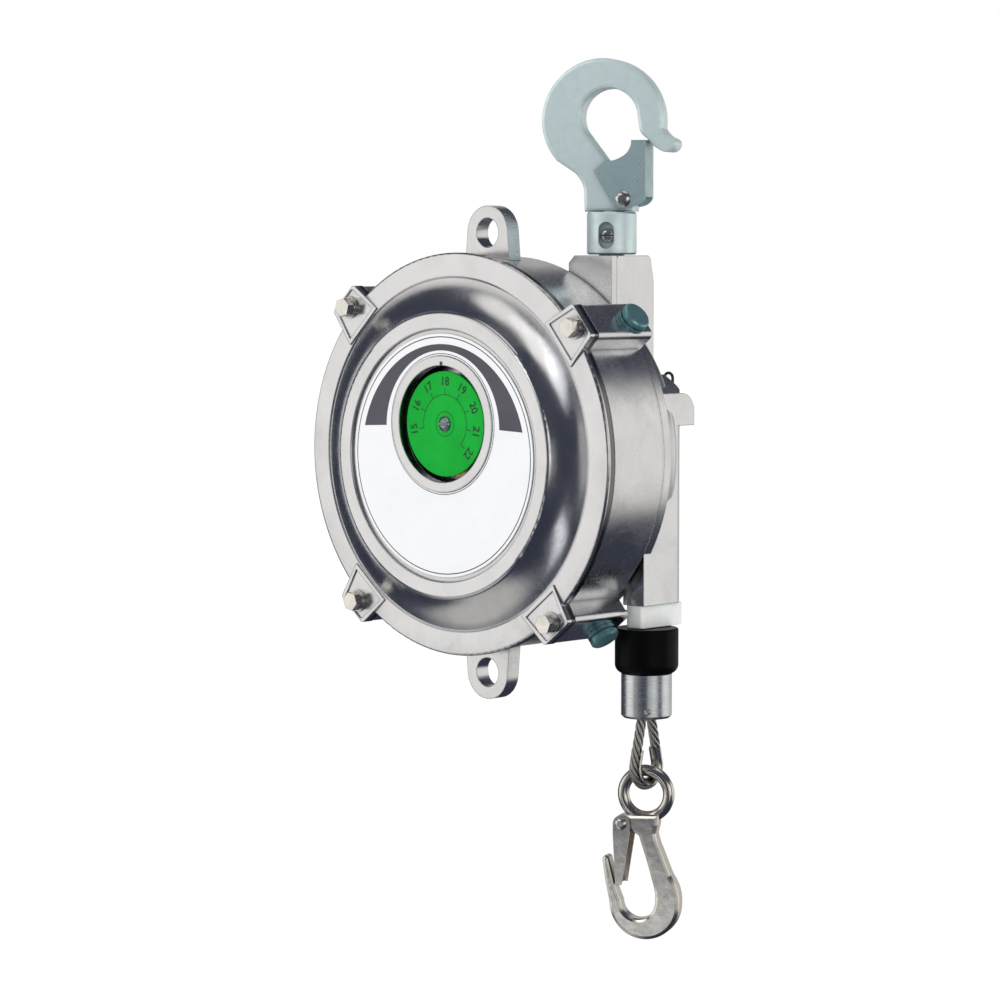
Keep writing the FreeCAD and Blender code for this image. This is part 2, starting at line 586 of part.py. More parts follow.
def draw(sketch, outline):
    """Draws a circle, or a closed outline of corners (u, v) or (u, v, radius of the arc that ends there)."""
    if isinstance(outline, Circle):
        centre = vector(outline.u, outline.v, 0)
        circle = Part.Circle(centre, FreeCAD.Vector(0, 0, 1), number(outline.radius))
        geometry = sketch.addGeometry(circle, False)
        pin_point(sketch, geometry, 3, outline.u, outline.v)
        set_radius(sketch, geometry, outline.radius)
        return
    points = [vector(corner[0], corner[1], 0) for corner in outline]
    edges = []
    for index, start in enumerate(points):
        after = (index + 1) % len(points)
        corner = outline[after]
        if len(corner) > 2:
            arc = arc_between(start, points[after], corner[2])
            geometry = sketch.addGeometry(arc, False)
            turns_left = number(corner[2]) > 0
            edges.append((geometry, 1, 2) if turns_left else (geometry, 2, 1))
        else:
            geometry = sketch.addGeometry(Part.LineSegment(start, points[after]), False)
            edges.append((geometry, 1, 2))
    for index, edge in enumerate(edges):
        following = edges[(index + 1) % len(edges)]
        sketch.addConstraint(
            Sketcher.Constraint("Coincident", edge[0], edge[2], following[0], following[1]))
    for edge, corner in zip(edges, outline):
        pin_point(sketch, edge[0], edge[1], corner[0], corner[1])
    for index, edge in enumerate(edges):
        corner = outline[(index + 1) % len(outline)]
        if len(corner) > 2:
            set_radius(sketch, edge[0], corner[2])


def new_sketch(body, plane, outlines, offset=0):
    sketch = body.newObject("Sketcher::SketchObject", body.Name + "_sketch")
    origin = [item for item in body.Origin.OriginFeatures if item.Role == plane + "_Plane"][0]
    sketch.AttachmentSupport = [(origin, "")]
    sketch.MapMode = "FlatFace"
    sketch.AttachmentOffset = FreeCAD.Placement(vector(0, 0, offset), FreeCAD.Rotation())
    bind(sketch, "AttachmentOffset.Base.z", offset)
    for outline in outlines:
        draw(sketch, outline)
    return sketch


def checked(body, feature, cuts):
    """Recomputes, and makes sure that a cut has cut and an addition has added."""
    before = 0 if body.Shape.isNull() else body.Shape.Volume
    document.recompute()
    after = feature.Shape.Volume
    if (cuts and after >= before) or (not cuts and after <= before):
        raise ValueError("%s changed nothing" % feature.Name)
    return feature


def extrude(body, plane, outlines, start, end, cut=False):
    """Pads or pockets outlines from start to end along the normal: XY along Z, XZ along Y, YZ along X."""
    backwards = plane == "XZ"
    sketch = new_sketch(body, plane, outlines, -start if backwards else start)
    kind = "Pocket" if cut else "Pad"
    feature = body.newObject("PartDesign::" + kind, body.Name + "_" + kind.lower())
    feature.Profile = sketch
    bind(feature, "Length", end - start)
    feature.Reversed = backwards != cut
    sketch.Visibility = False
    return checked(body, feature, cut)


def taper(body, face_at, height, angle):
    """Raises the body's flat end at y = face_at by a height, drawn in at an angle on every side."""
    base = body.Tip
    names = ["Face%d" % (index + 1) for index, face in enumerate(base.Shape.Faces)
             if near(face.BoundBox.YMin, face_at) and near(face.BoundBox.YMax, face_at)]
    feature = body.newObject("PartDesign::Pad", body.Name + "_taper")
    feature.Profile = (base, names)
    bind(feature, "Length", height)
    feature.TaperAngle = -angle
    return checked(body, feature, False)


def forge(body, outline, half, edge):
    """Extrudes an outline in the XZ plane to both sides, its edges rounded off in two bevels."""
    lower_rise = edge * math.sin(math.radians(45))
    extrude(body, "XZ", [outline], edge - half, half - edge)
    for side in (-1, 1):
        taper(body, side * (half - edge), lower_rise, 22.5)
        taper(body, side * (half - edge + lower_rise), edge - lower_rise, 67.5)


def revolve(body, outline, axis="Y", cut=False, angle=360.0):
    """Turns an outline about an axis: (radius, y) about Y, (radius, z) about Z, (x, radius) about X."""
    plane, reference = {"Y": ("XY", "V_Axis"), "Z": ("XZ", "V_Axis"), "X": ("XY", "H_Axis")}[axis]
    sketch = new_sketch(body, plane, [outline])
    kind = "Groove" if cut else "Revolution"
    feature = body.newObject("PartDesign::" + kind, body.Name + "_" + kind.lower())
    feature.Profile = (sketch, [""])
    feature.ReferenceAxis = (sketch, [reference])
    feature.Angle = angle
    return checked(body, feature, cut)


def pattern(body, feature, count):
    """Repeats a feature round the Y axis."""
    sketch = feature.Profile[0]
    repeat = body.newObject("PartDesign::PolarPattern", body.Name + "_pattern")
    repeat.Originals = [feature]
    repeat.Axis = (sketch, ["N_Axis"])
    repeat.Angle = 360
    repeat.Occurrences = count
    body.Tip = repeat
    document.recompute()
    return repeat


def soften(body, radius, wanted, chamfer=False):
    """Rounds or chamfers the edges of a body that wanted(edge) picks."""
    base = body.Tip
    names = ["Edge%d" % (index + 1) for index, edge in enumerate(base.Shape.Edges) if wanted(edge)]
    if not names:
        raise ValueError("%s has no such edge" % body.Name)
    kind = "Chamfer" if chamfer else "Fillet"
    feature = body.newObject("PartDesign::" + kind, body.Name + "_" + kind.lower())
    feature.Base = (base, names)
    bind(feature, "Size" if chamfer else "Radius", radius)
    body.Tip = feature
    document.recompute()
    return feature


def near(value, target, reach=0.01):
    return abs(value - number(target)) < reach


def on_plane(edge, axis, target):
    """True for an edge that lies in the plane where the coordinate has the target's value."""
    low = getattr(edge.BoundBox, axis + "Min")
    high = getattr(edge.BoundBox, axis + "Max")
    return near(low, target) and near(high, target)


def rod(radius, length, x, y, z, direction=(0, 0, 1)):
    """A cylinder from a point along a direction."""
    cylinder = document.addObject("Part::Cylinder", "rod")
    bind(cylinder, "Radius", radius)
    bind(cylinder, "Height", length)
    turn = FreeCAD.Rotation(FreeCAD.Vector(0, 0, 1), FreeCAD.Vector(*direction))
    locate(cylinder, x, y, z, turn)
    return cylinder


def cut_from(name, base, tools):
    """A base less its tools, which are joined first."""
    tool = tools[0]
    if len(tools) > 1:
        tool = document.addObject("Part::MultiFuse", name + "_tools")
        tool.Shapes = tools
    result = document.addObject("Part::Cut", name + "_cut")
    result.Base = base
    result.Tool = tool
    document.recompute()
    return result


def copies(name, base, placements):
    """Copies of a base at irregular places, as one object."""
    shapes = []
    for placement in placements:
        shape = base.Shape.copy()
        shape.Placement = placement.multiply(base.Placement)
        shapes.append(shape)
    result = document.addObject("Part::Feature", name + "_set")
    result.Shape = Part.makeCompound(shapes)
    return result


def around_y(angle):
    """The turn about the drum axis that brings +X to an angle in the X-Z plane."""
    return FreeCAD.Rotation(FreeCAD.Vector(0, 1, 0), -number(angle))


def at_angles(radius, angles):
    """Placements on a circle about the drum axis, each turned outward."""
    result = []
    for angle in angles:
        x, z = polar(radius, 0, angle)
        result.append(FreeCAD.Placement(vector(x, 0, z), around_y(angle)))
    return result


def hexagon(flats):
    """The corners of a hexagon about the origin."""
    corner_radius = flats / math.sqrt(3)
    return [polar(corner_radius, 0, 60.0 * index) for index in range(6)]


def box_outline(left, bottom, right, top):
    return [(left, bottom), (right, bottom), (right, top), (left, top)]


def rounded_box(left, bottom, right, top, radius):
    """A rectangle with rounded corners."""
    return [(left + radius, bottom, radius), (right - radius, bottom), (right, bottom + radius, radius),
            (right, top - radius), (right - radius, top, radius), (left + radius, top),
            (left, top - radius, radius), (left, bottom + radius)]


def slot_outline(u, v, half_width, reach):
    """A slot with round ends, along v."""
    return [(u + half_width, v - reach + half_width, half_width), (u + half_width, v + reach - half_width),
            (u, v + reach, half_width), (u - half_width, v + reach - half_width, half_width),
            (u - half_width, v - reach + half_width), (u, v - reach, half_width)]


# ---------------------------------------------------------------------------------------- front cover
def ear_outline(angle, inset=0, end_inset=0):
    """A cover ear: tapered, with small rounded corners, and drawn smaller by the insets."""
    root_half = dim.ear_root_half - inset
    half = dim.ear_half_width - inset
    reach = dim.ear_reach - end_inset
    start = dim.ear_root + inset
    corner = dim.ear_corner
    return [polar(start, -root_half, angle),
            polar(reach - corner, -half, angle),
            polar(reach, -half + corner, angle) + (corner,),
            polar(reach, half - corner, angle),
            polar(reach - corner, half, angle) + (corner,),
            polar(start, root_half, angle)]


def make_front_cover():
    inside = dim.cover_wall - dim.recess_rise
    spigot_inside = dim.spigot_radius - dim.spigot_wall
    spigot_rear = dim.flange_thickness + dim.spigot_length
    cover = new_body("front_cover")
    revolve(cover, [
        (0, -dim.recess_rise),
        (dim.ring_radius, -dim.recess_rise),
        (dim.ring_radius, dim.ring_round - dim.ring_rise),
        (dim.ring_radius + dim.ring_round, -dim.ring_rise, dim.ring_round),
        (dim.plateau_radius - dim.plateau_round, -dim.ring_rise),
        (dim.plateau_radius, -dim.plateau_rise, dim.plateau_round),
        (dim.cone_foot, -dim.cone_foot_rise, -dim.cone_hollow),
        (dim.step_radius, -dim.step_rise),
        (dim.cover_radius - dim.flange_round, -0.5 * dim.flange_round, dim.flange_dome),
        (dim.cover_radius, 0.5 * dim.flange_round, dim.flange_round),
        (dim.cover_radius, dim.flange_thickness),
        (dim.spigot_radius, dim.flange_thickness),
        (dim.spigot_radius, spigot_rear),
        (spigot_inside, spigot_rear),
        (spigot_inside, dim.cover_wall),
        (spigot_inside - dim.cone_inside, inside),
        (0, inside),
    ])
    for angle in CORNERS:
        extrude(cover, "XZ", [ear_outline(angle)], -dim.ear_rise, dim.flange_thickness)
    for angle in CORNERS:
        extrude(cover, "XZ", [ear_outline(angle, dim.ear_bead, dim.ear_end_bead)],
                -dim.ear_rise - dim.washer_sheet, dim.ear_pad_depth - dim.ear_rise, cut=True)
        u, v = polar(dim.bolt_circle, 0, angle)
        hole = Circle(u, v, dim.bolt_size / 2 + dim.screw_clearance)
        extrude(cover, "XZ", [hole], -dim.ear_rise, dim.flange_thickness, cut=True)
    extrude(cover, "XZ", [Circle(0, dim.dial_rise, dim.bezel_radius)], -dim.bezel_rise, inside)
    extrude(cover, "XZ", [Circle(0, dim.dial_rise, dim.window_radius)], -dim.bezel_rise, inside, cut=True)
    notch_foot = dim.dial_rise + dim.window_radius - dim.bezel_round
    notch = box_outline(-dim.pointer_width / 2, notch_foot, dim.pointer_width / 2,
                        notch_foot + dim.pointer_length)
    extrude(cover, "XZ", [notch], -dim.bezel_rise, dim.pointer_depth - dim.bezel_rise, cut=True)
    for angle in POST_ANGLES:
        u, v = polar(dim.post_circle, 0, angle)
        extrude(cover, "XZ", [Circle(u, v, dim.post_radius)], inside - dim.seat_fit, dim.bridge_front)
        extrude(cover, "XZ", [Circle(u, v, dim.bridge_screw_shank + dim.seat_fit)],
                dim.bridge_front - dim.bridge_screw_bite - 1, dim.bridge_front, cut=True)
    finish(cover, "front_cover")


def make_name_plate():
    plate = new_body("name_plate")
    opening = Circle(0, dim.dial_rise, dim.bezel_radius + dim.plate_gap)
    extrude(plate, "XZ", [Circle(0, 0, dim.plate_radius), opening],
            -dim.recess_rise - dim.plate_sheet, -dim.recess_rise)
    finish(plate, "name_plate")


def make_cover_gasket():
    gasket = new_body("cover_gasket")
    inside = dim.mouth_radius + dim.seat_fit
    rear = dim.flange_thickness + dim.gasket_sheet
    revolve(gasket, [
        (inside, dim.flange_thickness),
        (dim.joint_radius, dim.flange_thickness),
        (dim.joint_radius, rear),
        (inside, rear),
    ])
    finish(gasket, "cover_gasket")


def make_cover_bolts():
    seat = dim.ear_pad_depth - dim.ear_rise
    under_head = seat - dim.washer_sheet - dim.spring_washer_sheet
    bolt = new_body("cover_bolt")
    extrude(bolt, "XZ", [hexagon(dim.bolt_flats)], under_head - dim.bolt_head, under_head)
    extrude(bolt, "XZ", [Circle(0, 0, dim.bolt_size / 2)], under_head, under_head + dim.bolt_length)
    washers = new_body("bolt_washer")
    hole = dim.bolt_size / 2 + dim.screw_clearance / 2
    revolve(washers, [
        (hole, seat - dim.washer_sheet),
        (dim.washer_radius, seat - dim.washer_sheet),
        (dim.washer_radius, seat),
        (hole, seat),
    ])
    spring_washers = new_body("spring_washer")
    revolve(spring_washers, [
        (hole, under_head),
        (dim.spring_washer_radius, under_head),
        (dim.spring_washer_radius, seat - dim.washer_sheet),
        (hole, seat - dim.washer_sheet),
    ], angle=350.0)
    corners = at_angles(dim.bolt_circle, CORNERS)
    finish(copies("cover_bolts", bolt, corners), "cover_bolts")
    both = document.addObject("Part::Feature", "washer_pair")
    both.Shape = Part.makeCompound([washers.Shape, spring_washers.Shape])
    finish(copies("bolt_washers", both, corners), "bolt_washers")


# --------------------------------------------------------------------------------------- dial's train
def make_scale_dial():
    face = dim.dial_set_back - dim.bezel_rise
    dial = new_body("scale_dial")
    hole = Circle(0, 0, dim.dial_screw_shank + dim.screw_clearance)
    extrude(dial, "XZ", [Circle(0, 0, dim.dial_radius), hole], face, face + dim.dial_sheet)
    finish(dial, "scale_dial", z=dim.dial_rise)

    screw = new_body("dial_screw")
    head = dim.dial_screw_head
    revolve(screw, [
        (0, face - dim.dial_screw_rise),
        (head / 2, face - dim.dial_screw_rise),
        (head, face - 0.4 * dim.dial_screw_rise, head),
        (head, face),
        (dim.dial_screw_shank, face),
        (dim.dial_screw_shank, face + dim.dial_sheet + 1.2),
        (0, face + dim.dial_sheet + 1.2),
    ])
    extrude(screw, "XZ", [box_outline(-head, -0.15 * head, head, 0.15 * head)],
            face - dim.dial_screw_rise, face - 0.45 * dim.dial_screw_rise, cut=True)
    finish(screw, "dial_screw", z=dim.dial_rise)


def tooth_outline(root_radius, tip_radius, root_half, tip_half):
    """One gear tooth, pointing along u, sunk a little into its blank."""
    sunk = root_radius - root_half / 2
    return [(sunk, -root_half), (root_radius, -root_half), (tip_radius, -tip_half),
            (tip_radius, tip_half), (root_radius, root_half), (sunk, root_half)]


def add_teeth(body, pitch_radius, teeth, front, width, phase, halves):
    """Adds a ring of teeth; the first one points along the phase angle in the X-Z plane."""
    root_half, tip_half = halves
    outline = tooth_outline(pitch_radius - dim.gear_dedendum, pitch_radius + dim.gear_addendum,
                            root_half, tip_half)
    turned = [(u * cosine(phase) - v * sine(phase), u * sine(phase) + v * cosine(phase))
              for u, v in outline]
    pattern(body, extrude(body, "XZ", [turned], front, front + width), teeth)


def make_dial_gears():
    ratio = DIAL_TEETH / PINION_TEETH
    gear_pitch = dim.pinion_pitch * ratio
    rear = dim.gear_front + dim.gear_width
    face = dim.dial_set_back - dim.bezel_rise + dim.dial_sheet
    pinion = new_body("dial_pinion")
    blank = [Circle(0, 0, dim.pinion_pitch - dim.gear_dedendum),
             Circle(0, 0, dim.nose_radius + dim.seat_fit)]
    extrude(pinion, "XZ", blank, dim.gear_front - 0.2, rear + 0.2)
    add_teeth(pinion, dim.pinion_pitch, PINION_TEETH, dim.gear_front - 0.2, dim.gear_width + 0.4,
              90.0, (0.62, 0.2))
    finish(pinion, "dial_pinion")

    gear = new_body("dial_gear")
    revolve(gear, [
        (dim.dial_screw_shank + dim.seat_fit, face),
        (dim.gear_hub, face),
        (dim.gear_hub, dim.gear_front),
        (gear_pitch - dim.gear_dedendum, dim.gear_front),
        (gear_pitch - dim.gear_dedendum, rear),
        (dim.gear_hub, rear),
        (dim.gear_hub, dim.gear_hub_rear),
        (dim.stud_radius + dim.running_fit, dim.gear_hub_rear),
        (dim.stud_radius + dim.running_fit, dim.gear_bore_front),
        (dim.dial_screw_shank + dim.seat_fit, dim.gear_bore_front),
    ])
    add_teeth(gear, gear_pitch, DIAL_TEETH, dim.gear_front, dim.gear_width,
              -90.0 + 180.0 / DIAL_TEETH, (0.6, 0.28))
    finish(gear, "dial_gear", z=dim.dial_rise)

    stud = new_body("dial_stud")
    revolve(stud, [
        (0, dim.gear_bore_front + 0.3),
        (dim.stud_radius, dim.gear_bore_front + 0.3),
        (dim.stud_radius, dim.bridge_front + dim.bridge_sheet),
        (1.6 * dim.stud_radius, dim.bridge_front + dim.bridge_sheet),
        (1.6 * dim.stud_radius, dim.bridge_front + dim.bridge_sheet + 1),
        (0, dim.bridge_front + dim.bridge_sheet + 1),
    ])
    finish(stud, "dial_stud", z=dim.dial_rise)


# ------------------------------------------------------------------------------ bridge, bushes, shaft
def make_bearing_bridge():
    rear = dim.bridge_front + dim.bridge_sheet
    bridge = new_body("bearing_bridge")
    openings = [Circle(0, 0, dim.front_bush_radius + dim.seat_fit),
                Circle(0, dim.dial_rise, dim.stud_radius + dim.seat_fit)]
    for angle in POST_ANGLES:
        u, v = polar(dim.post_circle, 0, angle)
        openings.append(Circle(u, v, dim.bridge_screw_shank + dim.screw_clearance))
    for angle in BRIDGE_OPENING_ANGLES:
        u, v = polar(dim.bridge_hole_circle, 0, angle)
        openings.append(Circle(u, v, dim.bridge_hole))
    extrude(bridge, "XZ", [Circle(0, 0, dim.bridge_radius)] + openings, dim.bridge_front, rear)
    finish(bridge, "bearing_bridge")

    screw = new_body("bridge_screw")
    revolve(screw, [
        (0, dim.bridge_front - dim.bridge_screw_bite),
        (dim.bridge_screw_shank, dim.bridge_front - dim.bridge_screw_bite),
        (dim.bridge_screw_shank, rear),
        (dim.bridge_screw_head, rear),
        (dim.bridge_screw_head, rear + 0.5 * dim.bridge_screw_rise),
        (dim.bridge_screw_shank, rear + dim.bridge_screw_rise, dim.bridge_screw_head),
        (0, rear + dim.bridge_screw_rise),
    ])
    finish(copies("bridge_screws", screw, at_angles(dim.post_circle, POST_ANGLES)), "bridge_screws")


def make_bushes():
    rear = dim.bridge_front + dim.bridge_sheet
    bore = dim.front_journal_radius + dim.running_fit
    front_bush = new_body("front_bush")
    revolve(front_bush, [
        (bore, dim.bridge_front),
        (dim.front_bush_radius, dim.bridge_front),
        (dim.front_bush_radius, rear),
        (dim.front_bush_flange, rear),
        (dim.front_bush_flange, rear + dim.bush_flange_sheet),
        (bore, rear + dim.bush_flange_sheet),
    ])
    # the stud's head is let into the bush's flange
    stud_seat = Circle(0, dim.dial_rise, 1.6 * dim.stud_radius + dim.free_gap / 2)
    extrude(front_bush, "XZ", [stud_seat], rear, rear + dim.bush_flange_sheet, cut=True)
    finish(front_bush, "front_bush")

    bore = dim.rear_journal_radius + dim.running_fit
    rear_bush = new_body("rear_bush")
    revolve(rear_bush, [
        (bore, dim.cavity_rear - dim.bush_flange_sheet),
        (dim.rear_bush_flange, dim.cavity_rear - dim.bush_flange_sheet),
        (dim.rear_bush_flange, dim.cavity_rear),
        (dim.rear_bush_radius, dim.cavity_rear),
        (dim.rear_bush_radius, dim.rear_bush_rear),
        (bore, dim.rear_bush_rear),
    ])
    finish(rear_bush, "rear_bush")


def make_drum_shaft():
    shaft = new_body("drum_shaft")
    revolve(shaft, [
        (0, dim.nose_front),
        (dim.nose_radius, dim.nose_front),
        (dim.nose_radius, dim.front_journal_front),
        (dim.front_journal_radius, dim.front_journal_front),
        (dim.front_journal_radius, dim.seat_front),
        (dim.seat_radius, dim.seat_front),
        (dim.seat_radius, dim.core_front),
        (dim.core_radius, dim.core_front),
        (dim.core_radius, dim.core_rear),
        (dim.seat_radius, dim.core_rear),
        (dim.seat_radius, dim.seat_rear),
        (dim.rear_journal_radius, dim.seat_rear),
        (dim.rear_journal_radius, dim.rear_journal_rear),
        (dim.wheel_seat_radius, dim.rear_journal_rear),
        (dim.wheel_seat_radius, dim.circlip_front),
        (dim.circlip_groove, dim.circlip_front),
        (dim.circlip_groove, dim.circlip_front + dim.circlip_sheet + dim.running_fit),
        (dim.wheel_seat_radius, dim.circlip_front + dim.circlip_sheet + dim.running_fit),
        (dim.wheel_seat_radius, dim.shaft_rear),
        (0, dim.shaft_rear),
    ])
    keyway = box_outline(-dim.key_width / 2 - dim.seat_fit, dim.key_foot - dim.seat_fit,
                         dim.key_width / 2 + dim.seat_fit, dim.wheel_seat_radius + 1)
    extrude(shaft, "XZ", [keyway], dim.key_front, dim.key_front + dim.key_length, cut=True)
    hook_slot = box_outline(dim.core_radius - dim.core_slot, -dim.core_slot / 2,
                            dim.core_radius + 1, dim.core_slot / 2)
    extrude(shaft, "XZ", [hook_slot], dim.spring_front, dim.spring_rear, cut=True)
    finish(shaft, "drum_shaft")


# ----------------------------------------------------------------------------------------- worm gear
def make_worm_wheel():
    front = dim.worm_y - dim.wheel_width / 2
    rear = dim.worm_y + dim.wheel_width / 2
    root_radius = dim.wheel_pitch_radius - dim.worm_dedendum
    tip_radius = dim.wheel_pitch_radius + dim.worm_addendum
    root_half = dim.tooth_pitch_width / 2 + dim.worm_dedendum * dim.tooth_slope
    tip_half = dim.tooth_pitch_width / 2 - dim.worm_addendum * dim.tooth_slope
    bore = dim.wheel_seat_radius + dim.running_fit
    wheel = new_body("worm_wheel")
    revolve(wheel, [
        (bore, dim.rear_journal_rear),
        (dim.wheel_hub, dim.rear_journal_rear),
        (dim.wheel_hub, front),
        (root_radius, front),
        (root_radius, rear),
        (dim.wheel_hub, rear),
        (dim.wheel_hub, dim.wheel_hub_rear),
        (bore, dim.wheel_hub_rear),
    ])
    outline = [(v, -u) for u, v in tooth_outline(root_radius, tip_radius, root_half, tip_half)]
    pattern(wheel, extrude(wheel, "XZ", [outline], front, rear), WHEEL_TEETH)
    keyway = box_outline(-dim.key_width / 2 - dim.seat_fit, dim.wheel_seat_radius - 1,
                         dim.key_width / 2 + dim.seat_fit, dim.key_top + dim.seat_fit)
    extrude(wheel, "XZ", [keyway], dim.rear_journal_rear, dim.wheel_hub_rear, cut=True)
    finish(wheel, "worm_wheel")

    key = new_body("wheel_key")
    outline = box_outline(-dim.key_width / 2, dim.key_foot, dim.key_width / 2, dim.key_top)
    extrude(key, "XZ", [outline], dim.key_front, dim.key_front + dim.key_length - dim.seat_fit)
    finish(key, "wheel_key")

    circlip = new_body("wheel_circlip")
    revolve(circlip, [
        (dim.circlip_groove + dim.seat_fit, dim.circlip_front + dim.seat_fit),
        (dim.circlip_radius, dim.circlip_front + dim.seat_fit),
        (dim.circlip_radius, dim.circlip_front + dim.circlip_sheet),
        (dim.circlip_groove + dim.seat_fit, dim.circlip_front + dim.circlip_sheet),
    ], angle=315.0)
    finish(circlip, "wheel_circlip")


def make_worm():
    """The worm lies along X under the wheel. Its thread is right-handed, one start."""
    axial_pitch = 2 * math.pi * dim.wheel_pitch_radius / WHEEL_TEETH
    root_radius = dim.worm_pitch_radius - dim.worm_dedendum + dim.free_gap / 4
    tip_radius = dim.worm_pitch_radius + dim.worm_addendum
    root_half = dim.tooth_pitch_width / 2 + dim.worm_dedendum * dim.tooth_slope
    tip_half = dim.tooth_pitch_width / 2 - dim.worm_addendum * dim.tooth_slope
    end = dim.gearbox_half
    worm = new_body("worm_shaft")
    revolve(worm, [
        (-end + dim.free_gap, 0),
        (end + 1, 0),
        (end + 1, dim.worm_journal),
        (dim.worm_core_half, dim.worm_journal),
        (dim.worm_core_half, root_radius),
        (-dim.worm_core_half, root_radius),
        (-dim.worm_core_half, dim.worm_journal),
        (-end + dim.free_gap, dim.worm_journal),
    ], axis="X")
    start = -axial_pitch * THREAD_TURNS / 2
    sunk = root_radius - 0.3
    profile = new_sketch(worm, "XZ", [[
        (start - root_half, sunk), (start + root_half, sunk), (start + root_half, root_radius),
        (start + tip_half, tip_radius), (start - tip_half, tip_radius),
        (start - root_half, root_radius)]])
    thread = worm.newObject("PartDesign::AdditiveHelix", "worm_thread")
    thread.Profile = profile
    thread.ReferenceAxis = (profile, ["H_Axis"])
    thread.Mode = 0
    bind(thread, "Pitch", axial_pitch)
    bind(thread, "Height", axial_pitch * THREAD_TURNS)
    thread.LeftHanded = False
    thread.Reversed = False
    checked(worm, thread, cuts=False)
    extrude(worm, "YZ", [hexagon(dim.hexagon_flats)], end + 1, end + 1 + dim.hexagon_length)
    finish(worm, "worm_shaft", y=dim.worm_y, z=-dim.wheel_pitch_radius - dim.worm_pitch_radius)

    bush = new_body("worm_bush")
    inner_end = end - dim.gearbox_end_wall
    bore = dim.worm_journal + dim.running_fit
    revolve(bush, [
        (inner_end, bore), (end, bore), (end, bore + dim.worm_bush_wall),
        (inner_end, bore + dim.worm_bush_wall)], axis="X")
    bushes = copies("worm_bushes", bush, [
        FreeCAD.Placement(),
        FreeCAD.Placement(FreeCAD.Vector(), FreeCAD.Rotation(FreeCAD.Vector(0, 0, 1), 180))])
    finish(bushes, "worm_bushes", y=dim.worm_y, z=-dim.wheel_pitch_radius - dim.worm_pitch_radius)


def gearbox_outline(inset=0, end_inset=0):
    """The worm's box, under the round part of the gearbox."""
    half = dim.gearbox_half - end_inset
    return box_outline(-half, dim.gearbox_foot + inset, half, -dim.wheel_hub)


def gear_screw_places():
    upper = [polar(dim.gear_screw_circle, 0, angle) for angle in (45.0, 135.0)]
    lower = [(side * dim.gear_screw_x, dim.gearbox_foot + dim.gear_screw_head) for side in (-1, 1)]
    return upper + lower


def make_gear_cover():
    front = dim.gearbox_rear
    rear = front + dim.gear_cover_sheet
    lid = new_body("gear_cover")
    extrude(lid, "XZ", [Circle(0, 0, dim.gearbox_radius)], front, rear)
    extrude(lid, "XZ", [gearbox_outline()], front, rear)
    for u, v in gear_screw_places():
        extrude(lid, "XZ", [Circle(u, v, dim.gear_screw_shank + dim.screw_clearance)], front, rear, cut=True)
    finish(lid, "gear_cover")

    screw = new_body("gear_cover_screw")
    revolve(screw, [
        (0, front - dim.gear_screw_bite),
        (dim.gear_screw_shank, front - dim.gear_screw_bite),
        (dim.gear_screw_shank, rear),
        (dim.gear_screw_head, rear),
        (dim.gear_screw_head, rear + 0.5 * dim.gear_screw_rise),
        (dim.gear_screw_shank, rear + dim.gear_screw_rise, dim.gear_screw_head),
        (0, rear + dim.gear_screw_rise),
    ])
    places = [FreeCAD.Placement(vector(u, 0, v), FreeCAD.Rotation()) for u, v in gear_screw_places()]
    finish(copies("gear_cover_screws", screw, places), "gear_cover_screws")


# --------------------------------------------------------------------------------------- casing halves
def eye_outline(sign):
    """A safety ear above (sign 1) or below (sign -1) the casing."""
    left = dim.eye_x - dim.eye_radius
    right = dim.eye_x + dim.eye_radius
    crown = dim.eye_z + dim.eye_radius
    corners = [(dim.eye_x + dim.eye_base, sign * dim.eye_root),
               (right, sign * dim.eye_z),
               (dim.eye_x, sign * crown, sign * dim.eye_radius),
               (left, sign * dim.eye_z, sign * dim.eye_radius),
               (dim.eye_x - dim.eye_base, sign * dim.eye_root)]
    return corners


def boss_outline(angle):
    corner = dim.boss_corner
    half = dim.boss_half_width
    return [polar(dim.boss_root, -half, angle),
            polar(dim.ear_reach - corner, -half, angle),
            polar(dim.ear_reach, -half + corner, angle) + (corner,),
            polar(dim.ear_reach, half - corner, angle),
            polar(dim.ear_reach - corner, half, angle) + (corner,),
            polar(dim.boss_root, half, angle)]


def plug_placements():
    """The plugs sit in the outer faces of the corner bosses on the rope's side."""
    result = []
    for angle in (dim.corner_one, dim.corner_four):
        x, z = polar(dim.ear_reach, dim.plug_offset, angle)
        turn = around_y(angle).multiply(FreeCAD.Rotation(FreeCAD.Vector(0, 0, 1), -90))
        result.append(FreeCAD.Placement(vector(x, dim.plug_y, z), turn))
    return result


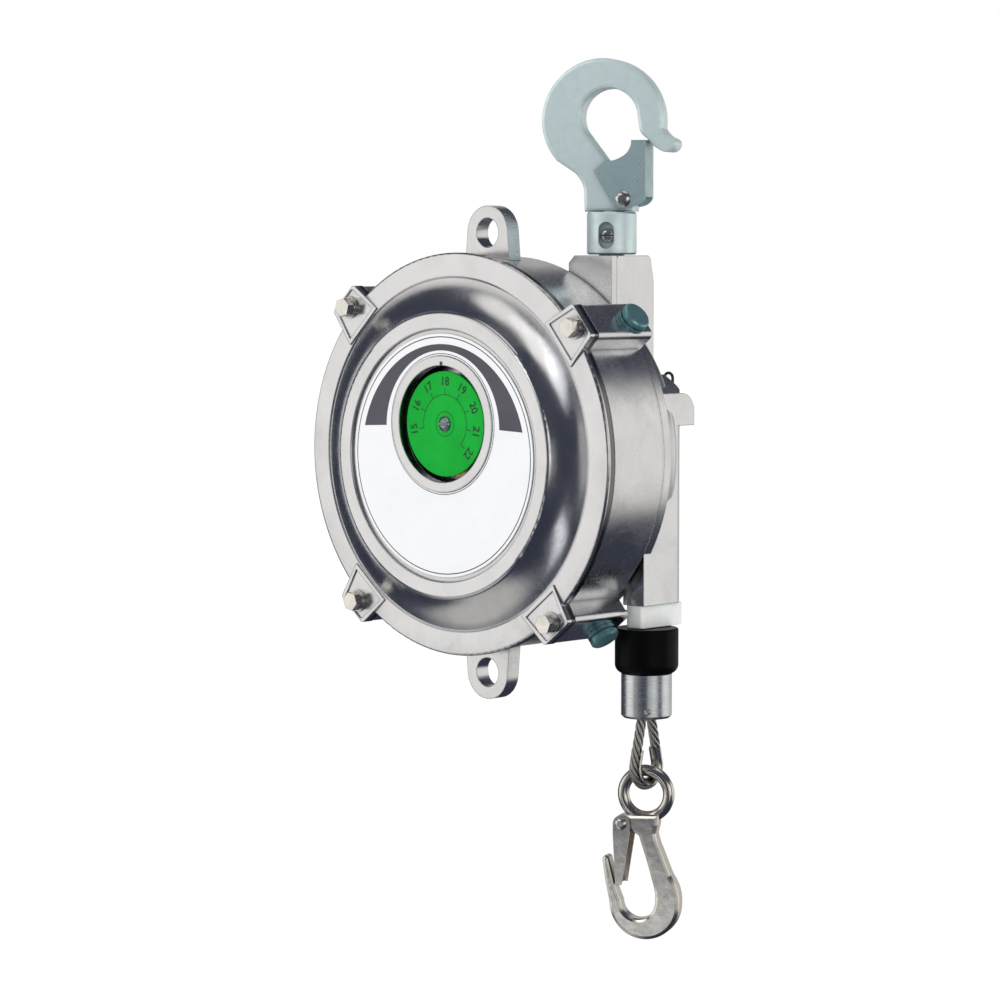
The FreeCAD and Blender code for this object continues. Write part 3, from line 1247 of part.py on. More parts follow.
def make_main_housing():
    inside = dim.casing_radius - dim.casing_wall
    flange_front = dim.joint_plane - dim.inner_flange
    housing = new_body("main_housing")
    land_front = dim.flange_thickness + dim.gasket_sheet
    revolve(housing, [
        (dim.mouth_radius, land_front),
        (dim.land_radius, land_front),
        (dim.land_radius, dim.casing_front),
        (dim.casing_radius, dim.casing_front),
        (dim.casing_radius, dim.casing_rear - dim.casing_edge),
        (dim.casing_radius - dim.casing_edge, dim.casing_rear),
        (dim.joint_radius, dim.casing_rear),
        (dim.joint_radius, dim.joint_plane),
        (dim.inner_flange_radius, dim.joint_plane),
        (dim.inner_flange_radius, flange_front),
        (inside, flange_front),
        (inside, land_front + dim.land_depth),
        (dim.mouth_radius, land_front + dim.land_depth),
    ])
    for angle in CORNERS:
        extrude(housing, "XZ", [boss_outline(angle)], dim.flange_thickness, dim.casing_rear)
    for sign in (1, -1):
        extrude(housing, "XZ", [eye_outline(sign)], dim.eye_front, dim.eye_front + dim.eye_sheet)
        extrude(housing, "XZ", [Circle(dim.eye_x, sign * dim.eye_z, dim.eye_hole)],
                dim.eye_front, dim.eye_front + dim.eye_sheet, cut=True)
    tongue_root = dim.casing_radius - dim.casing_wall / 2
    tongue = [(dim.lug_left, root(tongue_root * tongue_root - dim.lug_left * dim.lug_left)),
              (dim.lug_right, root(tongue_root * tongue_root - dim.lug_right * dim.lug_right),
               -tongue_root),
              (dim.lug_right, dim.lug_top),
              (dim.lug_left + dim.tongue_chamfer, dim.lug_top),
              (dim.lug_left, dim.lug_top - dim.tongue_chamfer)]
    extrude(housing, "XZ", [tongue], dim.tongue_front, dim.joint_plane)
    for angle in CORNERS:
        u, v = polar(dim.bolt_circle, 0, angle)
        extrude(housing, "XZ", [Circle(u, v, dim.bolt_size / 2 + dim.seat_fit)],
                dim.flange_thickness, dim.tap_depth, cut=True)
    for u, v in casing_screw_places():
        hole = Circle(u, v, dim.casing_screw_size / 2 + dim.screw_clearance)
        extrude(housing, "XZ", [hole], flange_front, dim.joint_plane, cut=True)
    slot = box_outline(dim.rope_x - dim.rope_slot_width / 2, -dim.rope_x, dim.rope_x
                       + dim.rope_slot_width / 2, dim.chute_start)
    extrude(housing, "XZ", [slot], flange_front, dim.joint_plane, cut=True)
    seats = []
    for placement in plug_placements():
        seat = rod(dim.plug_shank + dim.seat_fit, dim.plug_depth, 0, 0, 0)
        seat.Placement = placement.multiply(
            FreeCAD.Placement(vector(0, -dim.plug_depth, 0), FreeCAD.Rotation(FreeCAD.Vector(1, 0, 0), -90)))
        seats.append(seat)
    finish(cut_from("main_housing", housing, seats), "main_housing")


def make_boss_plugs():
    plug = new_body("boss_plug")
    revolve(plug, [
        (0, -dim.plug_depth + dim.free_gap),
        (dim.plug_shank, -dim.plug_depth + dim.free_gap),
        (dim.plug_shank, 0),
        (dim.plug_radius, 0),
        (dim.plug_radius, 0.3 * dim.plug_height),
        (dim.plug_radius - dim.plug_groove, 0.3 * dim.plug_height),
        (dim.plug_radius - dim.plug_groove, 0.5 * dim.plug_height),
        (dim.plug_radius, 0.5 * dim.plug_height),
        (dim.plug_radius, 0.85 * dim.plug_height),
        (dim.plug_radius - 0.15 * dim.plug_height, dim.plug_height),
        (0, dim.plug_height),
    ])
    finish(copies("boss_plugs", plug, plug_placements()), "boss_plugs")


def casing_screw_places():
    step = 360.0 / CASING_SCREWS
    return [polar(dim.casing_screw_circle, 0, dim.casing_screw_phase + step * index)
            for index in range(CASING_SCREWS)]


def make_casing_screws():
    seat = dim.joint_plane - dim.inner_flange
    screw = new_body("casing_screw")
    revolve(screw, [
        (0, seat - dim.casing_screw_rise),
        (0.8 * dim.casing_screw_head, seat - dim.casing_screw_rise),
        (dim.casing_screw_head, seat - 0.7 * dim.casing_screw_rise),
        (dim.casing_screw_head, seat),
        (dim.casing_screw_size / 2, seat),
        (dim.casing_screw_size / 2, dim.joint_plane + dim.casing_screw_bite),
        (0, dim.joint_plane + dim.casing_screw_bite),
    ])
    places = [FreeCAD.Placement(vector(u, 0, v), FreeCAD.Rotation()) for u, v in casing_screw_places()]
    finish(copies("casing_screws", screw, places), "casing_screws")


def make_rear_housing():
    chute_left = dim.rope_x - dim.chute_half
    chute_right = dim.rope_x + dim.chute_half
    housing = new_body("rear_housing")
    # the chute comes first, so that its rear edge can be rounded by itself
    extrude(housing, "XZ", [[(chute_left, dim.chute_foot), (chute_right, dim.chute_foot),
                             (chute_right, dim.chute_outer_top), (chute_left, dim.chute_inner_top)]],
            dim.joint_plane, dim.chute_rear)
    soften(housing, dim.chute_round, lambda edge: on_plane(edge, "X", chute_right)
           and on_plane(edge, "Y", dim.chute_rear))
    flange_rear = dim.joint_plane + dim.rear_flange
    revolve(housing, [
        (0, dim.joint_plane),
        (dim.joint_radius, dim.joint_plane),
        (dim.joint_radius, flange_rear),
        (dim.joint_radius - 1, flange_rear + 1),
        (dim.shell_radius, flange_rear + 1.2),
        (dim.shell_radius - 1.6, flange_rear + 3.2, -2.4),
        (dim.shell_rear_radius, dim.shell_rear - dim.shell_round),
        (dim.shell_rear_radius - dim.shell_round, dim.shell_rear, dim.shell_round),
        (0, dim.shell_rear),
    ])
    lug_front = dim.joint_plane
    extrude(housing, "YZ", [[
        (lug_front, dim.lug_foot),
        (dim.lug_rear, dim.lug_foot),
        (dim.lug_rear, dim.lug_shoulder),
        (dim.lug_rear_top + dim.lug_round, dim.lug_top - dim.lug_round),
        (dim.lug_rear_top, dim.lug_top, dim.lug_round),
        (lug_front + dim.lug_chamfer, dim.lug_top),
        (lug_front, dim.lug_top - dim.lug_chamfer)]], dim.lug_left, dim.lug_right)
    hood_start = dim.cavity_rear + 1
    hood_parts = ((dim.hood_left, chute_right, dim.hood_rear, dim.hood_round * 2 / 3),
                  (dim.hood_step, chute_right, dim.hood_deep_rear, dim.hood_round))
    for left, right, rear, rounding in hood_parts:
        extrude(housing, "YZ", [[
            (hood_start, dim.hood_foot),
            (rear, dim.hood_foot),
            (rear, dim.chute_outer_top - rounding),
            (rear - rounding, dim.chute_outer_top, rounding),
            (hood_start, dim.chute_outer_top)]], left, right)
    extrude(housing, "XZ", [Circle(0, 0, dim.gearbox_radius)], dim.shell_rear - 1, dim.gearbox_rear)
    extrude(housing, "XZ", [gearbox_outline()], dim.shell_rear - 1, dim.gearbox_rear)
    # the drum's cavity
    revolve(housing, [
        (0, dim.joint_plane),
        (dim.cavity_radius, dim.joint_plane),
        (dim.cavity_radius, flange_rear),
        (dim.cavity_rear_radius, dim.cavity_rear - 2),
        (dim.cavity_rear_radius - 2, dim.cavity_rear, 2),
        (0, dim.cavity_rear)], cut=True)
    # the rope's channel
    extrude(housing, "XY", [box_outline(chute_left + dim.chute_wall, dim.joint_plane + dim.chute_wall,
                                        chute_right - dim.chute_wall, dim.chute_rear - dim.chute_wall)],
            dim.chute_foot, dim.chute_start, cut=True)
    # the pocket of the hook's nut, open towards the tongue
    pocket_half = dim.pocket_width / 2
    extrude(housing, "XZ", [box_outline(dim.hook_x - pocket_half, dim.pocket_floor,
                                        dim.hook_x + pocket_half, dim.pocket_top)],
            dim.joint_plane, dim.hook_y + pocket_half, cut=True)
    extrude(housing, "XY", [Circle(dim.hook_x, dim.hook_y, dim.shank_radius + dim.swivel_fit)],
            dim.pocket_top, dim.lug_top, cut=True)
    # the gearbox
    inner_radius = dim.gearbox_radius - dim.gearbox_wall
    extrude(housing, "XZ", [Circle(0, 0, inner_radius)], dim.gearbox_floor, dim.gearbox_rear, cut=True)
    extrude(housing, "XZ", [gearbox_outline(dim.gearbox_wall - 1, dim.gearbox_end_wall)],
            dim.gearbox_floor, dim.gearbox_rear, cut=True)
    extrude(housing, "XZ", [Circle(0, 0, dim.rear_bush_radius + dim.seat_fit)],
            dim.cavity_rear, dim.gearbox_floor, cut=True)
    worm_z = -dim.wheel_pitch_radius - dim.worm_pitch_radius
    bush_seat = dim.worm_journal + dim.running_fit + dim.worm_bush_wall + dim.seat_fit
    extrude(housing, "YZ", [Circle(dim.worm_y, worm_z, bush_seat)], -dim.gearbox_half, dim.gearbox_half,
            cut=True)
    for u, v in gear_screw_places():
        extrude(housing, "XZ", [Circle(u, v, dim.gear_screw_shank + dim.seat_fit)],
                dim.gearbox_rear - dim.gear_screw_bite, dim.gearbox_rear, cut=True)
    # the casing screws' tapped holes and the drum lock's bore
    for u, v in casing_screw_places():
        extrude(housing, "XZ", [Circle(u, v, dim.casing_screw_size / 2 + dim.seat_fit)],
                dim.joint_plane, dim.joint_plane + dim.casing_screw_bite, cut=True)
    extrude(housing, "XZ", [Circle(dim.lock_x, dim.lock_z, dim.plunger_radius + dim.screw_clearance)],
            dim.cavity_rear, dim.lock_bush_front, cut=True)
    extrude(housing, "XZ", [Circle(dim.lock_x, dim.lock_z, dim.lock_bush_radius + dim.seat_fit)],
            dim.lock_bush_front, dim.lock_bush_rear, cut=True)
    finish(housing, "rear_housing")


# ------------------------------------------------------------------------------------- chute's pieces
def make_rope_guide():
    left = dim.rope_x - dim.guide_half
    right = dim.rope_x + dim.guide_half
    guide = new_body("rope_guide")
    extrude(guide, "XY", [rounded_box(left, dim.guide_front, right, dim.guide_rear, dim.guide_round)],
            dim.chute_foot - dim.guide_depth, dim.chute_foot)
    wall = dim.chute_wall + 2 * dim.running_fit
    collar = box_outline(dim.rope_x - dim.chute_half + wall, dim.joint_plane + wall,
                         dim.rope_x + dim.chute_half - wall, dim.chute_rear - wall)
    extrude(guide, "XY", [collar], dim.chute_foot, dim.chute_foot + dim.guide_collar)
    slot = slot_outline(dim.rope_x, dim.rope_y, dim.guide_slot_half,
                        dim.guide_slot_half + dim.guide_slot_reach)
    extrude(guide, "XY", [slot], dim.chute_foot - dim.guide_depth, dim.chute_foot + dim.guide_collar,
            cut=True)
    finish(guide, "rope_guide")


def make_drum_lock():
    bush = new_body("lock_bush")
    revolve(bush, [
        (dim.plunger_radius + dim.running_fit, dim.lock_bush_front),
        (dim.lock_bush_radius, dim.lock_bush_front),
        (dim.lock_bush_radius, dim.lock_bush_rear),
        (dim.plunger_radius + dim.running_fit, dim.lock_bush_rear),
    ])
    finish(bush, "lock_bush", x=dim.lock_x, z=dim.lock_z)

    plunger = new_body("lock_plunger")
    revolve(plunger, [
        (0, dim.plunger_tip),
        (dim.plunger_radius - 1, dim.plunger_tip),
        (dim.plunger_radius, dim.plunger_tip + 1),
        (dim.plunger_radius, dim.plunger_end - 0.6),
        (dim.plunger_radius - 0.6, dim.plunger_end),
        (0, dim.plunger_end),
    ])
    for sign in (-1, 1):
        hole = Circle(sign * dim.bail_half, dim.bail_y, dim.bail_wire + dim.seat_fit)
        extrude(plunger, "XY", [hole], -dim.bail_wire, dim.plunger_radius, cut=True)
    finish(plunger, "lock_plunger", x=dim.lock_x, z=dim.lock_z)

    height = dim.bail_top - dim.lock_z - dim.bail_wire - dim.bail_half
    feet = -dim.bail_wire / 2
    half = dim.bail_half
    path = Part.Wire([
        Part.LineSegment(vector(-half, 0, feet), vector(-half, 0, height)).toShape(),
        Part.Arc(vector(-half, 0, height), vector(0, 0, height + half), vector(half, 0, height)).toShape(),
        Part.LineSegment(vector(half, 0, height), vector(half, 0, feet)).toShape()])
    finish(swept_rod("lock_bail", path, dim.bail_wire), "lock_bail",
           x=dim.lock_x, y=dim.bail_y, z=dim.lock_z)


def swept_rod(name, path, radius):
    """A round rod along a path of lines and arcs."""
    start = path.Edges[0].valueAt(path.Edges[0].FirstParameter)
    tangent = path.Edges[0].tangentAt(path.Edges[0].FirstParameter)
    section = Part.Wire([Part.makeCircle(number(radius), start, tangent)])
    result = document.addObject("Part::Feature", name + "_rod")
    result.Shape = path.makePipeShell([section], True, True)
    return result


# ----------------------------------------------------------------------------------------------- drum
def rope_row(index):
    """Centre of the rope's turn: radius and y. Turn 0 is where the rope leaves the drum."""
    return dim.rope_x + dim.row_rise * index, dim.rope_y - dim.row_pitch * index


def make_rope_drum():
    groove = dim.rope_radius + dim.running_fit
    half = root(groove * groove - dim.ridge_drop * dim.ridge_drop)
    grooves = []
    for index in range(ROPE_ROWS):
        radius, middle = rope_row(index)
        ridge = radius - dim.ridge_drop
        grooves.append((ridge, middle + half))
        grooves.append((ridge, middle - half, groove))
    last_ridge = rope_row(ROPE_ROWS - 1)[0] - dim.ridge_drop
    guard_rear = dim.guard_front + dim.guard_sheet
    drum = new_body("rope_drum")
    revolve(drum, [
        (dim.bearing_radius + dim.seat_fit, dim.drum_rear),
        (dim.bearing_radius + dim.seat_fit, dim.rear_bearing_front),
        (dim.core_radius + 1, dim.rear_bearing_front),
        (dim.core_radius + 1, dim.chamber_rear),
        (dim.chamber_radius, dim.chamber_rear),
        (dim.chamber_radius, dim.drum_front),
        (dim.barrel_radius, dim.drum_front),
        (dim.barrel_radius, dim.guard_front),
        (dim.guard_radius - 1, dim.guard_front),
        (dim.guard_radius, dim.guard_front + 1, 1),
        (dim.guard_radius, guard_rear - 1),
        (dim.guard_radius - 1, guard_rear, 1),
        (last_ridge, guard_rear),
    ] + reversed_grooves(grooves) + [
        (rope_row(0)[0] - dim.ridge_drop, dim.small_flange_front),
        (dim.small_flange_radius, dim.small_flange_front),
        (dim.small_flange_radius, dim.drum_rear),
        (dim.rim_inside, dim.drum_rear),
        (dim.rim_inside, dim.web_rear),
        (dim.drum_hub, dim.web_rear),
        (dim.drum_hub, dim.drum_rear),
    ])
    angle = math.degrees(math.atan2(dim.lock_z.value, dim.lock_x.value))
    u, v = polar(dim.lock_circle, 0, angle)
    hole = extrude(drum, "XZ", [Circle(u, v, dim.lock_hole)],
                   dim.drum_rear - dim.lock_hole_depth, dim.drum_rear, cut=True)
    pattern(drum, hole, LOCK_HOLES)
    for u, v in case_screw_places():
        extrude(drum, "XZ", [Circle(u, v, dim.case_screw_shank + dim.seat_fit)],
                dim.drum_front, dim.drum_front + dim.case_screw_bite, cut=True)
    finish(drum, "rope_drum")


def reversed_grooves(grooves):
    """The grooves' corners the other way round: each arc ends in the corner it started from."""
    result = []
    for index in range(len(grooves) - 2, -1, -2):
        start, end = grooves[index], grooves[index + 1]
        result.append((end[0], end[1]))
        result.append((start[0], start[1], -end[2]))
    return result


def make_wound_rope():
    """The turns on the drum, as one solid: scalloped outside, and seated in the grooves inside."""
    rise = 0.2
    drop = 0.6
    outer_half = root(dim.rope_radius * dim.rope_radius - rise * rise)
    inner_half = root(dim.rope_radius * dim.rope_radius - drop * drop)
    outer = []
    inner = []
    for index in range(ROPE_ROWS):
        radius, middle = rope_row(index)
        outer.append((radius + rise, middle + outer_half))
        outer.append((radius + rise, middle - outer_half, -dim.rope_radius))
        inner.append((radius - drop, middle + inner_half))
        inner.append((radius - drop, middle - inner_half, dim.rope_radius))
    rope = new_body("wound_rope")
    revolve(rope, outer + reversed_grooves(inner))
    finish(rope, "wound_rope")

    # the rope's inner end comes through the large flange and sits in a ferrule beside it
    gap = dim.running_fit
    ferrule = rod(dim.anchor_radius, dim.anchor_length, -dim.anchor_length / 2,
                  dim.guard_front - dim.anchor_radius - gap, dim.barrel_radius + dim.anchor_radius + gap,
                  (1, 0, 0))
    clamp = rod(dim.anchor_radius * 0.6, dim.anchor_radius * 0.9, 0,
                dim.guard_front - dim.anchor_radius - gap, dim.barrel_radius + 1.6 * dim.anchor_radius,
                (0, 0, 1))
    anchor = document.addObject("Part::MultiFuse", "anchor_fuse")
    anchor.Shapes = [ferrule, clamp]
    finish(anchor, "rope_anchor")


def case_screw_places():
    step = 360.0 / CASE_SCREWS
    wall_middle = (dim.barrel_radius + dim.chamber_radius) / 2
    return [polar(wall_middle, 0, step * index) for index in range(CASE_SCREWS)]


def make_spring_case_cover():
    front = dim.drum_front - dim.case_plate
    lip = dim.bearing_radius - 1
    lid = new_body("spring_case_cover")
    bearing_rear = dim.case_hub_front + dim.bearing_width
    revolve(lid, [
        (dim.bearing_radius + dim.seat_fit, dim.case_hub_front),
        (dim.case_hub, dim.case_hub_front),
        (dim.case_hub, front),
        (dim.barrel_radius, front),
        (dim.barrel_radius, dim.drum_front),
        (dim.case_hub, dim.drum_front),
        (dim.case_hub, dim.case_hub_rear),
        (lip, dim.case_hub_rear),
        (lip, bearing_rear),
        (dim.bearing_radius + dim.seat_fit, bearing_rear),
    ])
    for u, v in case_screw_places():
        extrude(lid, "XZ", [Circle(u, v, dim.case_screw_shank + dim.screw_clearance)],
                front, dim.drum_front, cut=True)
    finish(lid, "spring_case_cover")

    screw = new_body("case_cover_screw")
    revolve(screw, [
        (0, front - dim.case_screw_rise),
        (0.7 * dim.case_screw_head, front - dim.case_screw_rise),
        (dim.case_screw_head, front - 0.5 * dim.case_screw_rise, dim.case_screw_head),
        (dim.case_screw_head, front),
        (dim.case_screw_shank, front),
        (dim.case_screw_shank, dim.drum_front + dim.case_screw_bite - dim.free_gap),
        (0, dim.drum_front + dim.case_screw_bite - dim.free_gap),
    ])
    places = [FreeCAD.Placement(vector(u, 0, v), FreeCAD.Rotation()) for u, v in case_screw_places()]
    finish(copies("case_cover_screws", screw, places), "case_cover_screws")


def make_drum_bearings():
    """Two sealed ball bearings: rings, and shields set back between them."""
    bearing = new_body("drum_bearing")
    inner_ring = dim.bearing_bore + dim.race_wall
    outer_ring = dim.bearing_radius - dim.race_wall
    width = dim.bearing_width
    revolve(bearing, [
        (dim.bearing_bore, 0),
        (inner_ring, 0),
        (inner_ring, dim.shield_depth),
        (outer_ring, dim.shield_depth),
        (outer_ring, 0),
        (dim.bearing_radius, 0),
        (dim.bearing_radius, width),
        (outer_ring, width),
        (outer_ring, width - dim.shield_depth),
        (inner_ring, width - dim.shield_depth),
        (inner_ring, width),
        (dim.bearing_bore, width),
    ])
    places = [FreeCAD.Placement(vector(0, front, 0), FreeCAD.Rotation())
              for front in (dim.case_hub_front, dim.rear_bearing_front)]
    finish(copies("drum_bearings", bearing, places), "drum_bearings")


def wound_arcs(start, growth, half_turns):
    """Half circles that wind outwards, each larger than the last by the growth."""
    arcs = []
    for index in range(half_turns):
        radius = start + growth * index
        side = -1 if index % 2 else 1
        centre = growth if index % 2 else 0
        ends = [vector(centre + step * side * radius, dim.spring_front, 0) for step in (1, -1)]
        arcs.append(Part.Arc(ends[0], vector(centre, dim.spring_front, side * radius), ends[1]))
    return arcs


def make_mainspring():
    """A strip wound in a flat spiral from the shaft's core to the barrel's wall."""
    strip = dim.spring_strip.value
    start = dim.spring_start.value
    half_turns = 2 * int(dim.spring_turns.value)
    growth = (dim.chamber_radius.value - dim.running_fit.value - strip - start) / half_turns
    inner = wound_arcs(start, growth, half_turns)
    outer = wound_arcs(start + strip, growth, half_turns)
    ends = [Part.LineSegment(inner[0].StartPoint, outer[0].StartPoint),
            Part.LineSegment(inner[-1].EndPoint, outer[-1].EndPoint)]
    edges = [curve.toShape() for curve in inner + outer + ends]
    face = Part.Face(Part.Wire(Part.__sortEdges__(edges)))
    spring = document.addObject("Part::Feature", "mainspring_strip")
    spring.Shape = face.extrude(vector(0, dim.spring_rear - dim.spring_front, 0))
    finish(spring, "mainspring")


# --------------------------------------------------------------------------------------- upper hook
def make_upper_hook():
    """Drawn in its own plane: u sideways, v the height above the drum axis."""
    half = dim.hook_thickness / 2
    bow_z = dim.hang_rise - dim.hook_inner_radius
    hook = new_body("upper_hook")
    forge(hook, [
        (-11.9, dim.shoulder_z),
        (12.0, dim.shoulder_z),
        (12.0, 124.5),
        (8.0, 127.5),
        (1.5, 133.0, -9.0),
        (-2.0, 138.6),
        (-12.2, bow_z - 6.1),
        (0, dim.hang_rise, -dim.hook_inner_radius),
        (dim.hook_inner_radius, bow_z, -dim.hook_inner_radius),
        (14.6, 152.1),
        (18.1, 148.4, 8.0),
        (24.4, 142.8, 16.0),
        (29.3, 141.9, 8.0),
        (32.7, 146.1, 4.0),
        (30.6, 148.3, 3.0),
        (25.6, 153.0, -9.0),
        (-3.2, 156.3 + dim.hook_outer_radius, dim.hook_outer_radius),
        (-3.2 - dim.hook_outer_radius, 156.3, dim.hook_outer_radius),
        (-25.4, 138.1, 30.0),
        (-17.0, 132.6),
        (-12.2, 124.0, -13.0)], half, dim.hook_edge)
    revolve(hook, [
        (0, dim.shank_foot),
        (dim.shank_radius - 1, dim.shank_foot),
        (dim.shank_radius, dim.shank_foot + 1),
        (dim.shank_radius, dim.shoulder_z + 2),
        (0, dim.shoulder_z + 2)], axis="Z")
    extrude(hook, "XZ", [Circle(dim.latch_x, dim.latch_z, dim.rivet_radius + dim.running_fit)],
            -half, half, cut=True)
    extrude(hook, "XZ", [Circle(dim.latch_x, dim.latch_z, dim.latch_spring_radius + dim.free_gap / 2)],
            half - dim.latch_spring_depth, half, cut=True)
    extrude(hook, "XZ", [Circle(0, dim.pin_z, dim.pin_radius + dim.seat_fit)],
            -dim.shank_radius, dim.shank_radius, cut=True)
    extrude(hook, "XZ", [Circle(0, dim.collar_screw_z, dim.collar_screw_shank + dim.seat_fit)],
            -dim.shank_radius, 0, cut=True)
    finish(hook, "upper_hook", x=dim.hook_x, y=dim.hook_y, rotation=yawed(dim.hook_yaw))


def make_hook_fittings():
    place = {"x": dim.hook_x, "y": dim.hook_y, "rotation": yawed(dim.hook_yaw)}
    bore = dim.shank_radius + dim.seat_fit
    edge = dim.collar_edge
    collar = new_body("hook_collar")
    revolve(collar, [
        (bore, dim.collar_foot),
        (dim.collar_radius - edge, dim.collar_foot),
        (dim.collar_radius, dim.collar_foot + edge),
        (dim.collar_radius, dim.collar_top - edge),
        (dim.collar_radius - edge, dim.collar_top),
        (bore, dim.collar_top)], axis="Z")
    extrude(collar, "XZ", [slot_outline(0, dim.collar_screw_z, dim.collar_slot_half,
                                        dim.collar_slot_reach)],
            -dim.collar_radius, -dim.collar_slot_floor, cut=True)
    extrude(collar, "XZ", [Circle(0, dim.collar_screw_z, dim.collar_screw_shank + dim.seat_fit)],
            -dim.collar_slot_floor, 0, cut=True)
    finish(collar, "hook_collar", **place)

    screw = new_body("collar_screw")
    head = dim.collar_screw_head
    seat = -dim.collar_slot_floor
    revolve(screw, [
        (0, seat - dim.collar_screw_rise),
        (0.5 * head, seat - dim.collar_screw_rise),
        (head, seat - 0.5 * dim.collar_screw_rise, head),
        (head, seat),
        (dim.collar_screw_shank, seat),
        (dim.collar_screw_shank, -dim.collar_screw_shank),
        (0, -dim.collar_screw_shank)])
    extrude(screw, "XZ", [box_outline(-head, -0.12 * head, head, 0.12 * head)],
            seat - dim.collar_screw_rise, seat - 0.5 * dim.collar_screw_rise, cut=True)
    finish(screw, "collar_screw", x=dim.hook_x, y=dim.hook_y, z=dim.collar_screw_z,
           rotation=yawed(dim.hook_yaw))

    nut = new_body("hook_nut")
    extrude(nut, "XY", [hexagon(dim.nut_flats), Circle(0, 0, dim.shank_radius + dim.seat_fit)],
            dim.nut_foot, dim.nut_top)
    for angle in (0.0, 60.0, 120.0):
        reach = dim.nut_flats
        half = dim.nut_slot / 2
        corners = [polar(reach, -half, angle + 90.0), polar(reach, half, angle + 90.0),
                   polar(-reach, half, angle + 90.0), polar(-reach, -half, angle + 90.0)]
        extrude(nut, "XY", [corners], dim.nut_foot, dim.nut_foot + dim.nut_slot_depth, cut=True)
    finish(nut, "hook_nut", **place)

    pin = rod(dim.pin_radius, 2 * dim.pin_half, 0, -dim.pin_half, dim.pin_z, (0, 1, 0))
    shown = document.addObject("Part::MultiFuse", "nut_pin_fuse")
    eye = rod(dim.nut_slot / 2 - dim.running_fit, dim.pin_radius, 0, -dim.pin_half, dim.pin_z, (0, 1, 0))
    shown.Shapes = [pin, eye]
    finish(shown, "nut_pin", **place)

    washer = new_body("thrust_washer")
    revolve(washer, [
        (dim.shank_radius + dim.swivel_fit, dim.nut_top + dim.free_gap / 2),
        (dim.thrust_washer_radius, dim.nut_top + dim.free_gap / 2),
        (dim.thrust_washer_radius, dim.pocket_top),
        (dim.shank_radius + dim.swivel_fit, dim.pocket_top)], axis="Z")
    finish(washer, "thrust_washer", x=dim.hook_x, y=dim.hook_y)


def make_latch(name, plate, spine, half, gap, sheet_size, rivet, place):
    """A latch bent from sheet: two plates beside the hook, joined by its back."""
    latch = new_body(name)
    inner = half + gap
    outer = inner + sheet_size
    extrude(latch, "XZ", [spine], -outer, outer)
    for start in (-outer, inner):
        extrude(latch, "XZ", [plate], start, start + sheet_size)
    extrude(latch, "XZ", [rivet], -outer, outer, cut=True)
    finish(latch, name, **place)


def make_rivet(name, radius, head, head_rise, reach, x, z, place):
    """A rivet along Y with a rounded head at each end."""
    rivet = new_body(name)
    total = reach + head_rise
    revolve(rivet, [
        (0, -total), (head / 2, -total), (head, -reach, head), (radius, -reach),
        (radius, reach), (head, reach), (head / 2, total, head), (0, total)])
    turn = place["rotation"]
    offset = turn.multVec(vector(x, 0, 0))
    finish(rivet, name, x=place["x"] + offset.x, y=place["y"] + offset.y, z=z, rotation=turn)


def make_latch_spring(name, radius, bore, front, depth, x, z, place):
    """A torsion spring's close coil, as a ring in its counterbore."""
    spring = new_body(name)
    revolve(spring, [(bore, front), (radius, front), (radius, front + depth), (bore, front + depth)])
    turn = place["rotation"]
    offset = turn.multVec(vector(x, 0, 0))
    finish(spring, name, x=place["x"] + offset.x, y=place["y"] + offset.y, z=z, rotation=turn)


def make_upper_latch():
    place = {"x": dim.hook_x, "y": dim.hook_y, "rotation": yawed(dim.hook_yaw)}
    spine_inner = dim.latch_spine - dim.latch_sheet
    plate = [
        (2.8, 117.2),
        (8.6, 115.7, 8.0),
        (12.5, 116.6),
        (17.1, 119.0, 7.0),
        (dim.latch_spine, 121.0, 3.0),
        (dim.latch_spine, dim.latch_top),
        (11.2, dim.latch_top),
        (10.7, 144.3, -6.0),
        (6.3, 139.6, -8.0),
        (-1.0, 137.7, -14.0),
        (-6.8, 133.5)]
    spine = box_outline(spine_inner, 121.0, dim.latch_spine, dim.latch_top)
    half = dim.hook_thickness / 2
    make_latch("upper_latch", plate, spine, half, dim.latch_gap, dim.latch_sheet,
               Circle(dim.latch_x, dim.latch_z, dim.rivet_radius + dim.seat_fit), place)
    make_rivet("upper_latch_rivet", dim.rivet_radius, dim.rivet_head, dim.rivet_head_rise,
               half + dim.latch_gap + dim.latch_sheet, dim.latch_x, dim.latch_z, place)
    make_latch_spring("upper_latch_spring", dim.latch_spring_radius, dim.rivet_radius + dim.seat_fit,
                      half - dim.latch_spring_depth + dim.free_gap / 2,
                      dim.latch_spring_depth, dim.latch_x, dim.latch_z, place)


# ----------------------------------------------------------------------------------------- rope's end
def make_rope_run():
    """The straight rope from the drum to the bumper."""
    run = rod(dim.rope_radius, dim.run_top - dim.bumper_top, 0, 0, 0)
    finish(run, "rope_run", x=dim.rope_x, y=dim.rope_y, z=dim.bumper_top)


